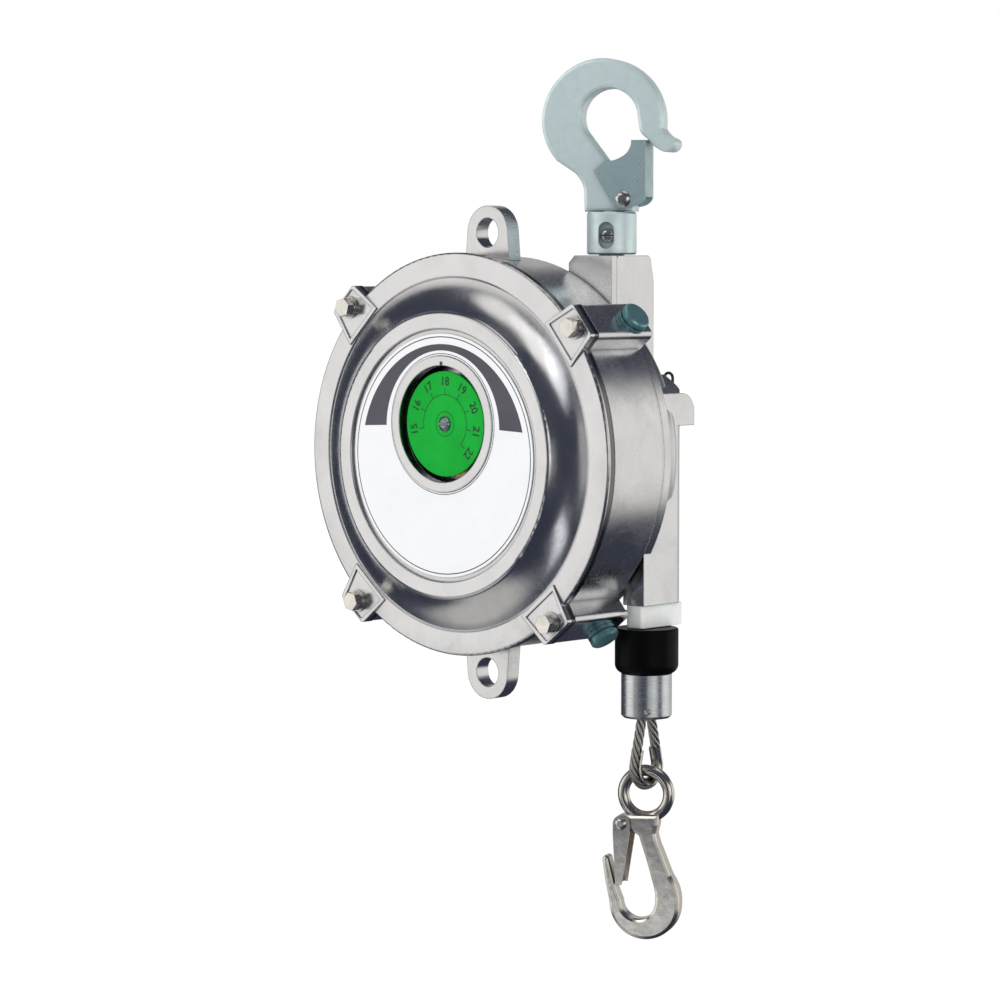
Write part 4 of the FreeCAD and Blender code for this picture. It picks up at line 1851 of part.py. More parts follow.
def make_bumper_and_sleeve():
    place = {"x": dim.rope_x, "y": dim.rope_y}
    bumper = new_body("rope_bumper")
    revolve(bumper, [
        (dim.rope_hole, dim.bumper_foot),
        (dim.bumper_radius - dim.bumper_round, dim.bumper_foot),
        (dim.bumper_radius, dim.bumper_foot + dim.bumper_round, dim.bumper_round),
        (dim.bumper_radius, dim.bumper_top - dim.bumper_edge),
        (dim.bumper_radius - dim.bumper_edge, dim.bumper_top, dim.bumper_edge),
        (dim.rope_hole, dim.bumper_top)], axis="Z")
    finish(bumper, "rope_bumper", **place)

    sleeve = new_body("stop_sleeve")
    revolve(sleeve, [
        (dim.rope_hole, dim.sleeve_foot),
        (dim.sleeve_radius - dim.sleeve_edge, dim.sleeve_foot),
        (dim.sleeve_radius, dim.sleeve_foot + dim.sleeve_edge),
        (dim.sleeve_radius, dim.bumper_foot),
        (dim.rope_hole, dim.bumper_foot)], axis="Z")
    pocket = slot_outline(0, 0, dim.rope_hole, dim.leg_half + dim.rope_hole + 1)
    extrude(sleeve, "XY", [pocket], dim.sleeve_foot, dim.sleeve_foot + dim.sleeve_pocket, cut=True)
    yaw = dim.sleeve_screw_yaw.value
    direction = (math.cos(math.radians(yaw)), math.sin(math.radians(yaw)), 0)
    screw_start = dim.leg_half + dim.rope_hole + 1.5
    start = [screw_start * component for component in direction[:2]]
    length = dim.sleeve_radius - screw_start
    hole = rod(dim.sleeve_screw_radius + dim.seat_fit, length + 1, start[0], start[1],
               dim.sleeve_screw_z, direction)
    finish(cut_from("stop_sleeve", sleeve, [hole]), "stop_sleeve", **place)

    screw = new_body("sleeve_screw")
    radius = dim.sleeve_screw_radius
    revolve(screw, [(0, 0), (radius, 0), (radius, length + 0.5), (radius * 0.7, length + 0.8),
                    (0, length + 0.8)], axis="Z")
    extrude(screw, "XZ", [box_outline(-radius, length + 0.3, radius, length + 1)], -0.2, 0.2, cut=True)
    turn = FreeCAD.Rotation(FreeCAD.Vector(0, 0, 1), FreeCAD.Vector(*direction))
    finish(screw, "sleeve_screw", x=dim.rope_x + start[0], y=dim.rope_y + start[1],
           z=dim.sleeve_screw_z, rotation=turn)


def loop_touch():
    """Where the loop's straight legs meet its bend: y and z from the loop's centre, right leg."""
    half = dim.leg_half.value
    rise = dim.sleeve_foot.value + dim.leg_straight.value - dim.loop_z.value
    radius = dim.loop_radius.value
    angle = math.atan2(rise, half) - math.acos(radius / math.hypot(half, rise))
    return radius * math.cos(angle), radius * math.sin(angle)


def loop_leg():
    """The right leg of the loop, about the loop's centre: where it meets the bend, and its direction."""
    touch_y, touch_z = loop_touch()
    rise = dim.sleeve_foot.value + dim.leg_straight.value - dim.loop_z.value
    touch = FreeCAD.Vector(0, touch_y, touch_z)
    return touch, (FreeCAD.Vector(0, dim.leg_half.value, rise) - touch).normalize()


def loop_path(length):
    """Down one leg, round the bend and up the other."""
    touch, leg = loop_leg()
    start = touch + leg * number(length)
    return Part.Wire([
        Part.LineSegment(start, touch).toShape(),
        Part.Arc(touch, vector(0, 0, -dim.loop_radius), FreeCAD.Vector(0, -touch.y, touch.z)).toShape(),
        Part.LineSegment(FreeCAD.Vector(0, -touch.y, touch.z),
                         FreeCAD.Vector(0, -start.y, start.z)).toShape()])


def make_rope_loop():
    """The rope comes down through the bumper, goes round the thimble and back into the sleeve."""
    top = dim.sleeve_foot + dim.sleeve_pocket - 2 * dim.free_gap - dim.loop_z
    touch, leg = loop_leg()
    loop = swept_rod("rope_loop", loop_path((top.value - touch.z) / leg.z), dim.rope_radius)
    stem = rod(dim.rope_radius, dim.bumper_top - dim.loop_z - top + dim.free_gap, 0, 0,
               top - dim.free_gap)
    fused = document.addObject("Part::MultiFuse", "rope_loop_fuse")
    fused.Shapes = [loop, stem]
    finish(fused, "rope_loop", x=dim.rope_x, y=dim.rope_y, z=dim.loop_z)


def make_rope_thimble():
    """A channel of sheet round the inside of the loop, swept along the same bend and legs."""
    inner = number(dim.rope_radius + 2 * dim.running_fit)
    outer = inner + dim.thimble_sheet.value
    touch, leg = loop_leg()
    start = touch + leg * dim.thimble_leg.value
    inward = FreeCAD.Vector(0, -leg.z, leg.y)
    sideways = FreeCAD.Vector(1, 0, 0)
    section = Part.Wire([
        Part.Arc(start - sideways * outer, start + inward * outer, start + sideways * outer).toShape(),
        Part.LineSegment(start + sideways * outer, start + sideways * inner).toShape(),
        Part.Arc(start + sideways * inner, start + inward * inner, start - sideways * inner).toShape(),
        Part.LineSegment(start - sideways * inner, start - sideways * outer).toShape()])
    thimble = document.addObject("Part::Feature", "thimble_sweep")
    thimble.Shape = loop_path(dim.thimble_leg).makePipeShell([section], True, False)
    finish(thimble, "rope_thimble", x=dim.rope_x, y=dim.rope_y, z=dim.loop_z)


# --------------------------------------------------------------------------------------- lower hook
def make_lower_hook():
    """Drawn in its own plane: u sideways from the rope, v the height above the drum axis."""
    half = dim.lower_thickness / 2
    hook = new_body("lower_hook")
    bowl_z = -211.6
    inner_x = -3.1
    inner_z = -210.6
    left = dim.lower_latch_x - dim.lower_ear
    forge(hook, [
        (7.0, -169.0),
        (dim.lower_latch_x, dim.lower_latch_z + dim.lower_ear),
        (left, dim.lower_latch_z, dim.lower_ear),
        (dim.lower_latch_x, dim.lower_latch_z - dim.lower_ear, dim.lower_ear),
        (-2.7, -179.4, -9.0),
        (1.2, -191.3),
        (4.6, -203.2),
        (inner_x + dim.bowl_inner, inner_z, -20.0),
        (inner_x, inner_z - dim.bowl_inner, -dim.bowl_inner),
        (inner_x - dim.bowl_inner, inner_z, -dim.bowl_inner),
        (-14.7, -200.8, -40.0),
        (-17.1, -191.3),
        (-18.85, -189.5, 1.8),
        (-20.6, -191.3, 1.8),
        (-19.0, -201.8),
        (-dim.bowl_radius, bowl_z),
        (0, bowl_z - dim.bowl_radius, dim.bowl_radius),
        (dim.bowl_radius, bowl_z, dim.bowl_radius),
        (12.8, -197.5, 20.0),
        (8.0, -185.6),
        (5.5, -178.0, -30.0),
        (6.5, -174.0)], half, dim.lower_edge)
    extrude(hook, "XZ", [Circle(dim.lower_latch_x, dim.lower_latch_z, dim.lower_rivet + dim.running_fit)],
            -half, half, cut=True)
    extrude(hook, "XZ", [Circle(dim.lower_latch_x, dim.lower_latch_z,
                                dim.lower_spring_radius + dim.free_gap / 2)],
            half - dim.lower_spring_depth, half, cut=True)
    eye = document.addObject("Part::Torus", "hook_eye")
    bind(eye, "Radius1", dim.eye_mid)
    bind(eye, "Radius2", dim.eye_bar)
    locate(eye, 0, 0, dim.lower_eye_z, FreeCAD.Rotation(FreeCAD.Vector(1, 0, 0), 90))
    fused = document.addObject("Part::MultiFuse", "lower_hook_fuse")
    fused.Shapes = [hook, eye]
    finish(fused, "lower_hook", x=dim.rope_x, y=dim.rope_y, rotation=yawed(dim.lower_yaw))


def make_lower_latch():
    place = {"x": dim.rope_x, "y": dim.rope_y, "rotation": yawed(dim.lower_yaw)}
    plate = [
        (-7.0, -170.6),
        (-10.8, -169.6, 7.0),
        (-14.7, -173.6, 4.2),
        (-14.7, -178.5),
        (-13.4, -202.7),
        (-10.5, -202.7),
        (-6.3, -176.0)]
    spine = [(-13.5, -178.5), (-14.7, -178.5), (-13.4, -202.7), (-12.2, -202.7)]
    half = dim.lower_thickness / 2
    make_latch("lower_latch", plate, spine, half, dim.lower_latch_gap, dim.lower_latch_sheet,
               Circle(dim.lower_latch_x, dim.lower_latch_z, dim.lower_rivet + dim.seat_fit), place)
    make_rivet("lower_latch_rivet", dim.lower_rivet, dim.lower_rivet_head, dim.lower_rivet_rise,
               half + dim.lower_latch_gap + dim.lower_latch_sheet,
               dim.lower_latch_x, dim.lower_latch_z, place)
    make_latch_spring("lower_latch_spring", dim.lower_spring_radius, dim.lower_rivet + dim.seat_fit,
                      half - dim.lower_spring_depth + dim.free_gap / 2,
                      dim.lower_spring_depth, dim.lower_latch_x, dim.lower_latch_z, place)


# ---------------------------------------------------------------------------------------------- build
for make in (make_front_cover, make_name_plate, make_cover_gasket, make_cover_bolts, make_scale_dial,
             make_dial_gears, make_bearing_bridge, make_bushes, make_drum_shaft, make_worm_wheel,
             make_worm, make_gear_cover, make_main_housing, make_boss_plugs, make_casing_screws,
             make_rear_housing, make_rope_guide, make_drum_lock, make_rope_drum, make_wound_rope,
             make_spring_case_cover, make_drum_bearings, make_mainspring, make_upper_hook,
             make_hook_fittings, make_upper_latch, make_rope_run, make_bumper_and_sleeve,
             make_rope_loop, make_rope_thimble, make_lower_hook, make_lower_latch):
    make()

document.recompute()
for item in document.Objects:
    if "Invalid" in item.State or "Error" in item.State:
        raise ValueError("%s could not be built" % item.Name)
for piece in pieces:
    if piece.Shape.isNull() or not piece.Shape.isValid():
        raise ValueError("%s has no valid shape" % piece.Label)

os.makedirs("parts", exist_ok=True)
for piece in pieces:
    piece.Shape.exportStep(os.path.join("parts", piece.Label + ".step"))
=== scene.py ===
"""Tool balancer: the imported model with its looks, a pale studio and the camera."""
import json
import math

import bmesh
import bpy
from mathutils import Matrix, Vector


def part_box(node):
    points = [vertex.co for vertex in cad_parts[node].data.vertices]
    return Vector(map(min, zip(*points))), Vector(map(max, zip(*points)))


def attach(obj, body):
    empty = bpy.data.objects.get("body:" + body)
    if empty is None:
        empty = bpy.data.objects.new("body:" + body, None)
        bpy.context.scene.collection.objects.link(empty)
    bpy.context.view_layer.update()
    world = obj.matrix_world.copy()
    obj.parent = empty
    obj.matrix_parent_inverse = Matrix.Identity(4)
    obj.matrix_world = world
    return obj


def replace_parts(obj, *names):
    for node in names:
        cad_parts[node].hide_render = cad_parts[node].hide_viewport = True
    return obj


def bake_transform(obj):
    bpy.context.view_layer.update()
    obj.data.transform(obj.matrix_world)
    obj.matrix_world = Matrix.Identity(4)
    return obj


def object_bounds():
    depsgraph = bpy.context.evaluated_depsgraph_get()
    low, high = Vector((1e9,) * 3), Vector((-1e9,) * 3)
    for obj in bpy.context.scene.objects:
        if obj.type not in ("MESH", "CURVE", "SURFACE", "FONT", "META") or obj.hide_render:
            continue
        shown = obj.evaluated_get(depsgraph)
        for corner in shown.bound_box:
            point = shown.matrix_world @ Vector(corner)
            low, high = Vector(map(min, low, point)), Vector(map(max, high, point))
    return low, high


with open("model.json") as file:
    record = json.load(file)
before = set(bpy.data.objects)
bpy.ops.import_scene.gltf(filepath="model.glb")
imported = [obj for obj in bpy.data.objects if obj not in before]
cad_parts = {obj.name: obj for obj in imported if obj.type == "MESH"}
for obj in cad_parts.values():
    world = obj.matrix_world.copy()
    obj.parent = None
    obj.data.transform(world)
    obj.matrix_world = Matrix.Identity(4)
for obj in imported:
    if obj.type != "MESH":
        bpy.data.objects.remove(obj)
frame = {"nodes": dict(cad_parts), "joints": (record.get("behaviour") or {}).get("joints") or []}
cad_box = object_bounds()
NODES = frame["nodes"]
MM = 0.001


# ----------------------------------------------------------------------- places read from the frame
def joint(name):
    return next(entry for entry in frame["joints"] if entry["name"] == name)


def middle(node):
    low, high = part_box(node)
    return (Vector(low) + Vector(high)) / 2


DRUM_AXIS = Vector(joint("drum_turn")["pos_m"])
DIAL_AXIS = Vector(joint("dial_turn")["pos_m"])
ROPE = middle("rope_run")
PLATE_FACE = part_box("name_plate")[0][1]
DIAL_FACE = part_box("scale_dial")[0][1]
FLANGE_THICK = 4 * MM
FLANGE_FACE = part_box("cover_gasket")[0][1] - FLANGE_THICK


# --------------------------------------------------------------------------------------- shader kit
class Shader:
    """A material under construction: each method adds a node and returns its output."""

    def __init__(self, name, color, metallic=0.0, roughness=0.5, **sockets):
        self.material = bpy.data.materials.new(name)
        self.material.use_nodes = True
        self.tree = self.material.node_tree
        self.surface = self.tree.nodes["Principled BSDF"]
        self.set("Base Color", (*color, 1))
        self.set("Metallic", metallic)
        self.set("Roughness", roughness)
        for socket, value in sockets.items():
            self.set(socket.replace("_", " "), value)
        self.position = self.add("ShaderNodeTexCoord").outputs["Object"]

    def add(self, kind, **settings):
        node = self.tree.nodes.new(kind)
        for key, value in settings.items():
            setattr(node, key, value)
        return node

    def set(self, socket, value):
        self.put(self.surface.inputs[socket], value)

    def put(self, socket, value):
        if isinstance(value, bpy.types.NodeSocket):
            self.tree.links.new(value, socket)
        else:
            socket.default_value = value

    def math(self, operation, *values):
        node = self.add("ShaderNodeMath", operation=operation)
        for socket, value in zip(node.inputs, values):
            self.put(socket, value)
        return node.outputs[0]

    def moved(self, origin, scale=(1, 1, 1), rotation=(0, 0, 0)):
        """The place on the piece, measured from origin."""
        shift = self.add("ShaderNodeVectorMath", operation="SUBTRACT")
        self.put(shift.inputs[0], self.position)
        shift.inputs[1].default_value = origin
        mapping = self.add("ShaderNodeMapping")
        self.put(mapping.inputs["Vector"], shift.outputs[0])
        mapping.inputs["Scale"].default_value = scale
        mapping.inputs["Rotation"].default_value = rotation
        return mapping.outputs[0]

    def split(self, vector):
        node = self.add("ShaderNodeSeparateXYZ")
        self.put(node.inputs[0], vector)
        return node.outputs

    def noise(self, size, detail=3.0, rough=0.5, vector=None, warp=0.0):
        """Noise whose features are about size metres across."""
        node = self.add("ShaderNodeTexNoise")
        self.put(node.inputs["Vector"], self.position if vector is None else vector)
        node.inputs["Scale"].default_value = 1 / size
        node.inputs["Detail"].default_value = detail
        node.inputs["Roughness"].default_value = rough
        node.inputs["Distortion"].default_value = warp
        return node.outputs["Fac"]

    def remap(self, value, low, high, to_low, to_high, smooth=False):
        node = self.add("ShaderNodeMapRange")
        node.interpolation_type = "SMOOTHSTEP" if smooth else "LINEAR"
        for socket, number in zip(node.inputs, (value, low, high, to_low, to_high)):
            self.put(socket, number)
        return node.outputs[0]

    def blend(self, share, first, second):
        node = self.add("ShaderNodeMix", data_type="RGBA")
        self.put(node.inputs["Factor"], share)
        for socket, color in zip((node.inputs[6], node.inputs[7]), (first, second)):
            self.put(socket, color if isinstance(color, bpy.types.NodeSocket) else (*color, 1))
        return node.outputs[2]

    def crevice(self, reach):
        """1 in the open, towards 0 in corners and gaps narrower than reach."""
        node = self.add("ShaderNodeAmbientOcclusion", samples=6)
        node.inputs["Distance"].default_value = reach
        return node.outputs["AO"]

    def soft_edges(self, radius):
        """A normal that rounds the sharp edges."""
        node = self.add("ShaderNodeBevel", samples=4)
        node.inputs["Radius"].default_value = radius
        return node.outputs[0]

    def bump(self, height, depth, normal=None, strength=1.0):
        node = self.add("ShaderNodeBump")
        node.inputs["Strength"].default_value = strength
        node.inputs["Distance"].default_value = depth
        self.put(node.inputs["Height"], height)
        if normal is not None:
            self.put(node.inputs["Normal"], normal)
        return node.outputs[0]


def dress(material, *names):
    """Gives CAD nodes, or pieces of the scene, one material."""
    for name in names:
        target = NODES[name] if isinstance(name, str) else name
        target.data.materials.clear()
        target.data.materials.append(material)


# ---------------------------------------------------------------------------------------- materials
ROPE_RADIUS = 2.4 * MM
STRANDS = 6
STRAND_WIRES = 9
STRAND_LAY = 24 * MM      # length in which a strand goes once round the rope
WIRE_LAY = 8 * MM         # length in which a wire goes once round its strand
ROPE_STROKE = joint("rope_pull")["range_m"][1]


def cast_aluminium(name, polish=0.17, grain=1.0, turned=False, tone=(0.80, 0.81, 0.83)):
    """Polished die casting: soft waves and fine pits, with painted shade greying its corners.
    A turned one also has fine rings, and painted shade darkens its rim behind the flange."""
    shader = Shader(name, tone, 1.0, polish)
    cloudy = shader.noise(22 * MM, 4, 0.6, warp=0.6)
    fine = shader.noise(1.6 * MM, 5, 0.7)
    corner = shader.crevice(4 * MM)
    # painted shade: ambient occlusion marks corners and gaps, which are greyed and made rougher
    crevice_shade = shader.math("MULTIPLY", shader.remap(corner, 0.3, 0.9, 1, 0, True), 0.6)
    # random stains; on a turned piece the painted rim shade is blended in below
    stains_and_rim_shade = shader.blend(shader.remap(cloudy, 0.3, 0.7, 0, 0.3), tone, (0.62, 0.63, 0.66))
    if turned:
        across, back, up = shader.split(shader.moved(DRUM_AXIS))
        flange = FLANGE_FACE - DRUM_AXIS.y
        # painted shade: the rim behind the flange is darkened towards near black
        rim_shade = shader.remap(back, flange + 0.9 * MM, flange + 1.3 * MM, 0, 0.85)
        stains_and_rim_shade = shader.blend(rim_shade, stains_and_rim_shade, (0.10, 0.095, 0.09))
    # painted shade: corners and gaps blended towards dark grey
    shader.set("Base Color", shader.blend(crevice_shade, stains_and_rim_shade, (0.16, 0.16, 0.165)))
    haze = shader.math("ADD", shader.remap(cloudy, 0.3, 0.75, polish * 0.75, polish * 1.5),
                       shader.remap(fine, 0.35, 0.75, 0, 0.08))
    shader.set("Roughness", shader.math("ADD", haze, shader.math("MULTIPLY", crevice_shade, 0.3)))
    normal = shader.soft_edges(0.7 * MM)
    normal = shader.bump(shader.noise(16 * MM, 2, 0.4), 0.22 * MM * grain, normal)
    normal = shader.bump(fine, 0.035 * MM * grain, normal)
    if turned:
        reach = shader.math("SQRT", shader.math("ADD", shader.math("MULTIPLY", across, across),
                                                shader.math("MULTIPLY", up, up)))
        line = shader.add("ShaderNodeCombineXYZ")
        shader.put(line.inputs[0], reach)
        normal = shader.bump(shader.noise(0.5 * MM, 3, 0.7, vector=line.outputs[0]), 0.012 * MM, normal)
    shader.set("Normal", normal)
    return shader.material


def plated(name, tone, tint, rough, edge=0.35 * MM, wave=0.12 * MM, spots=0.25, metallic=1.0):
    """Plated steel: a thin tinted skin, mottled and a little worn, with painted shade darkening its
    corners.
    """
    shader = Shader(name, tone, metallic, rough)
    cloudy = shader.noise(7 * MM, 4, 0.62, warp=0.8)
    fine = shader.noise(0.7 * MM, 4, 0.7)
    corner = shader.crevice(4 * MM)
    mottled = shader.blend(shader.remap(cloudy, 0.35, 0.68, 0, 1), tone, tint)
    # painted shade: corners and gaps darkened towards a quarter of the tint
    shader.set("Base Color", shader.blend(shader.remap(corner, 0.3, 0.9, 0.6, 0, True), mottled,
                                          tuple(0.25 * c for c in tint)))
    shader.set("Roughness", shader.math("ADD", shader.remap(cloudy, 0.3, 0.7, rough * 0.8, rough * 1.25),
                                        shader.remap(fine, 0.4, 0.75, 0, spots * rough)))
    normal = shader.soft_edges(edge)
    normal = shader.bump(shader.noise(5 * MM, 2, 0.5), wave, normal)
    shader.set("Normal", shader.bump(fine, 0.02 * MM, normal))
    return shader.material


def turned_steel(name, tone, rough, origin, axis="Z", edge=0.3 * MM, depth=0.015 * MM):
    """Bright steel with the fine rings that a lathe leaves along one axis."""
    shader = Shader(name, tone, 1.0, rough)
    stretch = {"X": (1, 0.02, 0.02), "Y": (0.02, 1, 0.02), "Z": (0.02, 0.02, 1)}[axis]
    rings = shader.noise(0.35 * MM, 4, 0.7, vector=shader.moved(origin, stretch))
    cloudy = shader.noise(8 * MM, 3, 0.5)
    shader.set("Base Color", shader.blend(shader.remap(cloudy, 0.3, 0.7, 0, 0.5), tone,
                                          tuple(0.7 * c for c in tone)))
    shader.set("Roughness", shader.remap(rings, 0.3, 0.7, rough * 0.7, rough * 1.4))
    shader.set("Normal", shader.bump(rings, depth, shader.soft_edges(edge)))
    return shader.material


def coating(name, tone, rough, coat=0.0, size=0.5 * MM, depth=0.02 * MM, spread=0.12, edge=0.25 * MM,
            **more):
    """Paint, print, plastic or rubber with a fine skin texture."""
    shader = Shader(name, tone, 0.0, rough, Coat_Weight=coat, Coat_Roughness=0.12, **more)
    skin = shader.noise(size, 4, 0.65)
    cloudy = shader.noise(12 * MM, 3, 0.6)
    shade = tuple(c * (1 - spread) for c in tone)
    shader.set("Base Color", shader.blend(shader.remap(cloudy, 0.3, 0.7, 0, 1), tone, shade))
    shader.set("Roughness", shader.remap(cloudy, 0.3, 0.7, rough * 0.85, rough * 1.15))
    shader.set("Normal", shader.bump(skin, depth, shader.soft_edges(edge)))
    return shader.material


def stranded_wire(name, tone):
    """One strand's fine bright wires: u runs round the strand, v is the length along it in metres."""
    shader = Shader(name, tone, 1.0, 0.27)
    round_it, along, _ = shader.split(shader.add("ShaderNodeUVMap").outputs[0])
    slant = shader.math("SUBTRACT", shader.math("MULTIPLY", round_it, STRAND_WIRES),
                        shader.math("MULTIPLY", along, STRAND_WIRES / WIRE_LAY))
    wires = shader.math("ABSOLUTE", shader.math("SINE", shader.math("MULTIPLY", slant, math.pi)))
    # painted shade: gaps between strands and wires darkened almost to black
    crevice_shade = shader.remap(shader.crevice(1.6 * MM), 0.35, 0.95, 0.95, 0, True)
    worn = shader.blend(shader.remap(shader.noise(4 * MM, 3, 0.6), 0.3, 0.7, 0, 0.5), tone,
                        tuple(0.7 * c for c in tone))
    shader.set("Base Color", shader.blend(crevice_shade, worn, (0.03, 0.027, 0.025)))
    shader.set("Roughness", shader.remap(wires, 0.0, 0.8, 0.5, 0.24))
    shader.set("Normal", shader.bump(wires, 0.07 * MM, strength=0.9))
    return shader.material


def laid_rope(name, tone):
    """A straight rope whose strands are drawn by bump, with painted shade in the grooves between them.
    u runs round it, and v is its length when it is pulled out."""
    shader = Shader(name, tone, 1.0, 0.3)
    round_it, along, _ = shader.split(shader.add("ShaderNodeUVMap").outputs[0])
    turn = shader.math("ADD", round_it, shader.math("DIVIDE", along, STRAND_LAY))
    strand = shader.math("ABSOLUTE", shader.math("SINE", shader.math("MULTIPLY", turn, STRANDS * math.pi)))
    # painted shade: the bump's grooves between strands darkened towards black
    groove_shade = shader.remap(strand, 0.0, 0.45, 0.8, 0, True)
    shader.set("Base Color", shader.blend(groove_shade, tone, (0.06, 0.055, 0.05)))
    shader.set("Roughness", shader.remap(shader.noise(3 * MM, 3, 0.6), 0.3, 0.7, 0.24, 0.38))
    shader.set("Normal", shader.bump(strand, 0.5 * MM, strength=0.9))
    return shader.material


ALUMINIUM = cast_aluminium("die_cast_aluminium", polish=0.20, grain=0.6)
SPUN = cast_aluminium("spun_aluminium", polish=0.15, grain=0.22, turned=True, tone=(0.82, 0.83, 0.86))
ZINC = plated("blue_zinc", (0.75, 0.87, 0.88), (0.66, 0.80, 0.82), 0.34, metallic=0.55)
ZINC_SHEET = plated("zinc_sheet", (0.52, 0.68, 0.70), (0.42, 0.58, 0.61), 0.30, metallic=0.7)
ZINC_PLUG = plated("zinc_plug", (0.24, 0.46, 0.50), (0.16, 0.36, 0.40), 0.28, metallic=0.8, wave=0.05 * MM)
NICKEL = plated("nickel", (0.86, 0.83, 0.78), (0.76, 0.73, 0.68), 0.17, wave=0.045 * MM)
BRIGHT = plated("bright_zinc", (0.90, 0.88, 0.84), (0.80, 0.78, 0.74), 0.20, wave=0.05 * MM)
SCREW_STEEL = plated("screw_steel", (0.36, 0.40, 0.46), (0.26, 0.29, 0.34), 0.30, wave=0.05 * MM)
STEEL = plated("plain_steel", (0.62, 0.63, 0.65), (0.50, 0.51, 0.53), 0.24)
DARK_STEEL = plated("blued_steel", (0.20, 0.23, 0.30), (0.14, 0.15, 0.19), 0.30)
SLEEVE = turned_steel("turned_sleeve", (0.82, 0.87, 0.91), 0.27, ROPE, "Z", depth=0.006 * MM)
SHAFTING = turned_steel("turned_shaft", (0.62, 0.63, 0.65), 0.22, DRUM_AXIS, "Y")
BRONZE = plated("sintered_bronze", (0.72, 0.52, 0.27), (0.58, 0.40, 0.20), 0.34)
ROPE_STEEL = stranded_wire("rope_wires", (0.70, 0.68, 0.64))
TAUT_ROPE = laid_rope("taut_rope", (0.66, 0.65, 0.62))
WOUND_ROPE = plated("wound_rope", (0.60, 0.59, 0.57), (0.42, 0.41, 0.40), 0.34)
RUBBER = coating("black_rubber", (0.0018, 0.0018, 0.002), 0.40, Specular_IOR_Level=0.10, size=0.8 * MM,
                 depth=0.05 * MM, spread=0.3)
NYLON = coating("white_nylon", (0.86, 0.87, 0.86), 0.42, size=1.5 * MM, depth=0.04 * MM,
                Subsurface_Weight=0.25, Subsurface_Scale=0.002)
GASKET = coating("gasket_fibre", (0.035, 0.035, 0.037), 0.7, size=0.6 * MM, depth=0.08 * MM)
PLATE = coating("white_plate", (0.77, 0.78, 0.80), 0.30, coat=0.2, spread=0.03, depth=0.006 * MM)
PRINT = coating("grey_print", (0.055, 0.052, 0.072), 0.34, coat=0.3, spread=0.12, depth=0.006 * MM)
BLACK_INK = coating("black_ink", (0.012, 0.012, 0.014), 0.35, spread=0.2, depth=0.005 * MM)
DIAL = coating("green_dial", (0.004, 0.38, 0.035), 0.45, Specular_IOR_Level=0.12, spread=0.16,
               depth=0.012 * MM)
DIAL_INK = coating("dial_ink", (0.003, 0.055, 0.018), 0.45, spread=0.3, depth=0.01 * MM)
BLACK_WIRE = coating("black_wire", (0.02, 0.02, 0.021), 0.3, coat=0.3, size=0.6 * MM, depth=0.03 * MM)

dress(SPUN, "front_cover")
dress(ALUMINIUM, "main_housing", "rear_housing", "gear_cover", "bearing_bridge", "rope_drum",
      "spring_case_cover")
dress(PLATE, "name_plate")
dress(DIAL, "scale_dial")
dress(GASKET, "cover_gasket")
dress(ZINC, "upper_hook", "hook_collar")
dress(ZINC_SHEET, "upper_latch")
dress(ZINC_PLUG, "boss_plugs")
dress(BRIGHT, "cover_bolts", "bolt_washers", "collar_screw", "upper_latch_rivet", "lower_latch_rivet",
      "sleeve_screw", "gear_cover_screws")
dress(NICKEL, "lower_hook", "lower_latch", "rope_thimble")
dress(SLEEVE, "stop_sleeve")
dress(SHAFTING, "drum_shaft", "worm_shaft", "lock_plunger", "dial_stud", "dial_pinion")
dress(SCREW_STEEL, "dial_screw")
dress(STEEL, "casing_screws", "bridge_screws", "case_cover_screws", "drum_bearings", "rope_anchor",
      "wheel_key", "hook_nut", "nut_pin", "wheel_circlip")
dress(DARK_STEEL, "mainspring", "upper_latch_spring", "lower_latch_spring")
dress(BRONZE, "front_bush", "rear_bush", "worm_bushes", "worm_wheel", "lock_bush", "thrust_washer",
      "dial_gear")
dress(WOUND_ROPE, "wound_rope", "rope_run", "rope_loop")
dress(RUBBER, "rope_bumper")
dress(NYLON, "rope_guide")
dress(BLACK_WIRE, "lock_bail")


# ------------------------------------------------------------------ print on the plate and the dial
def new_piece(name, shape, material, body):
    """An object from a bmesh, riding on a body if one is named."""
    data = bpy.data.meshes.new(name)
    shape.to_mesh(data)
    shape.free()
    piece = bpy.data.objects.new(name, data)
    bpy.context.scene.collection.objects.link(piece)
    data.materials.append(material)
    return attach(piece, body) if body else piece


def printed_band(shape, centre, y, inner, outer, start, end, steps=96):
    """A flat printed arc between two radii, from one angle to another, clockwise from the top.
    A radius is a number, or a function of the angle."""
    rows = []
    for step in range(steps + 1):
        angle = math.radians(start + (end - start) * step / steps)
        reaches = [radius(angle) if callable(radius) else radius for radius in (inner, outer)]
        sine, cosine = math.sin(angle), math.cos(angle)
        rows.append([shape.verts.new((centre.x + reach * sine, y, centre.z + reach * cosine))
                     for reach in reaches])
    for first, second in zip(rows, rows[1:]):
        shape.faces.new((first[0], first[1], second[1], second[0]))


INK = 0.04 * MM              # how far the print stands over its surface
BAND_REACH = 52.3 * MM       # the dark arc's outer radius, round the drum's axis
BAND_INSIDE = 36.3 * MM      # its inner radius, round a centre BAND_DROP below the dial's
BAND_DROP = 1.8 * MM
BAND_END = 92.5              # degrees to each side of the top
EDGE_RING = (55.45 * MM, 55.9 * MM)
WINDOW_RING = (32.9 * MM, 33.2 * MM)
DIAL_SPACING = 33.0          # degrees from one number to the next
DIAL_NUMBERS = range(15, 23)
TOP_NUMBER = 18              # at the pointer when nothing is turned
DIAL_LINE = 0.35 * MM
DIAL_ARC = 13.6 * MM
DIAL_RING = 5.6 * MM
DIAL_TICK = 3.2 * MM
NUMBER_REACH = 19.9 * MM
NUMBER_SIZE = 5.6 * MM
NUMBER_DEPTH = 0.02 * MM
NUMBER_WEIGHT = 0.09 * MM    # thickens the figures' strokes


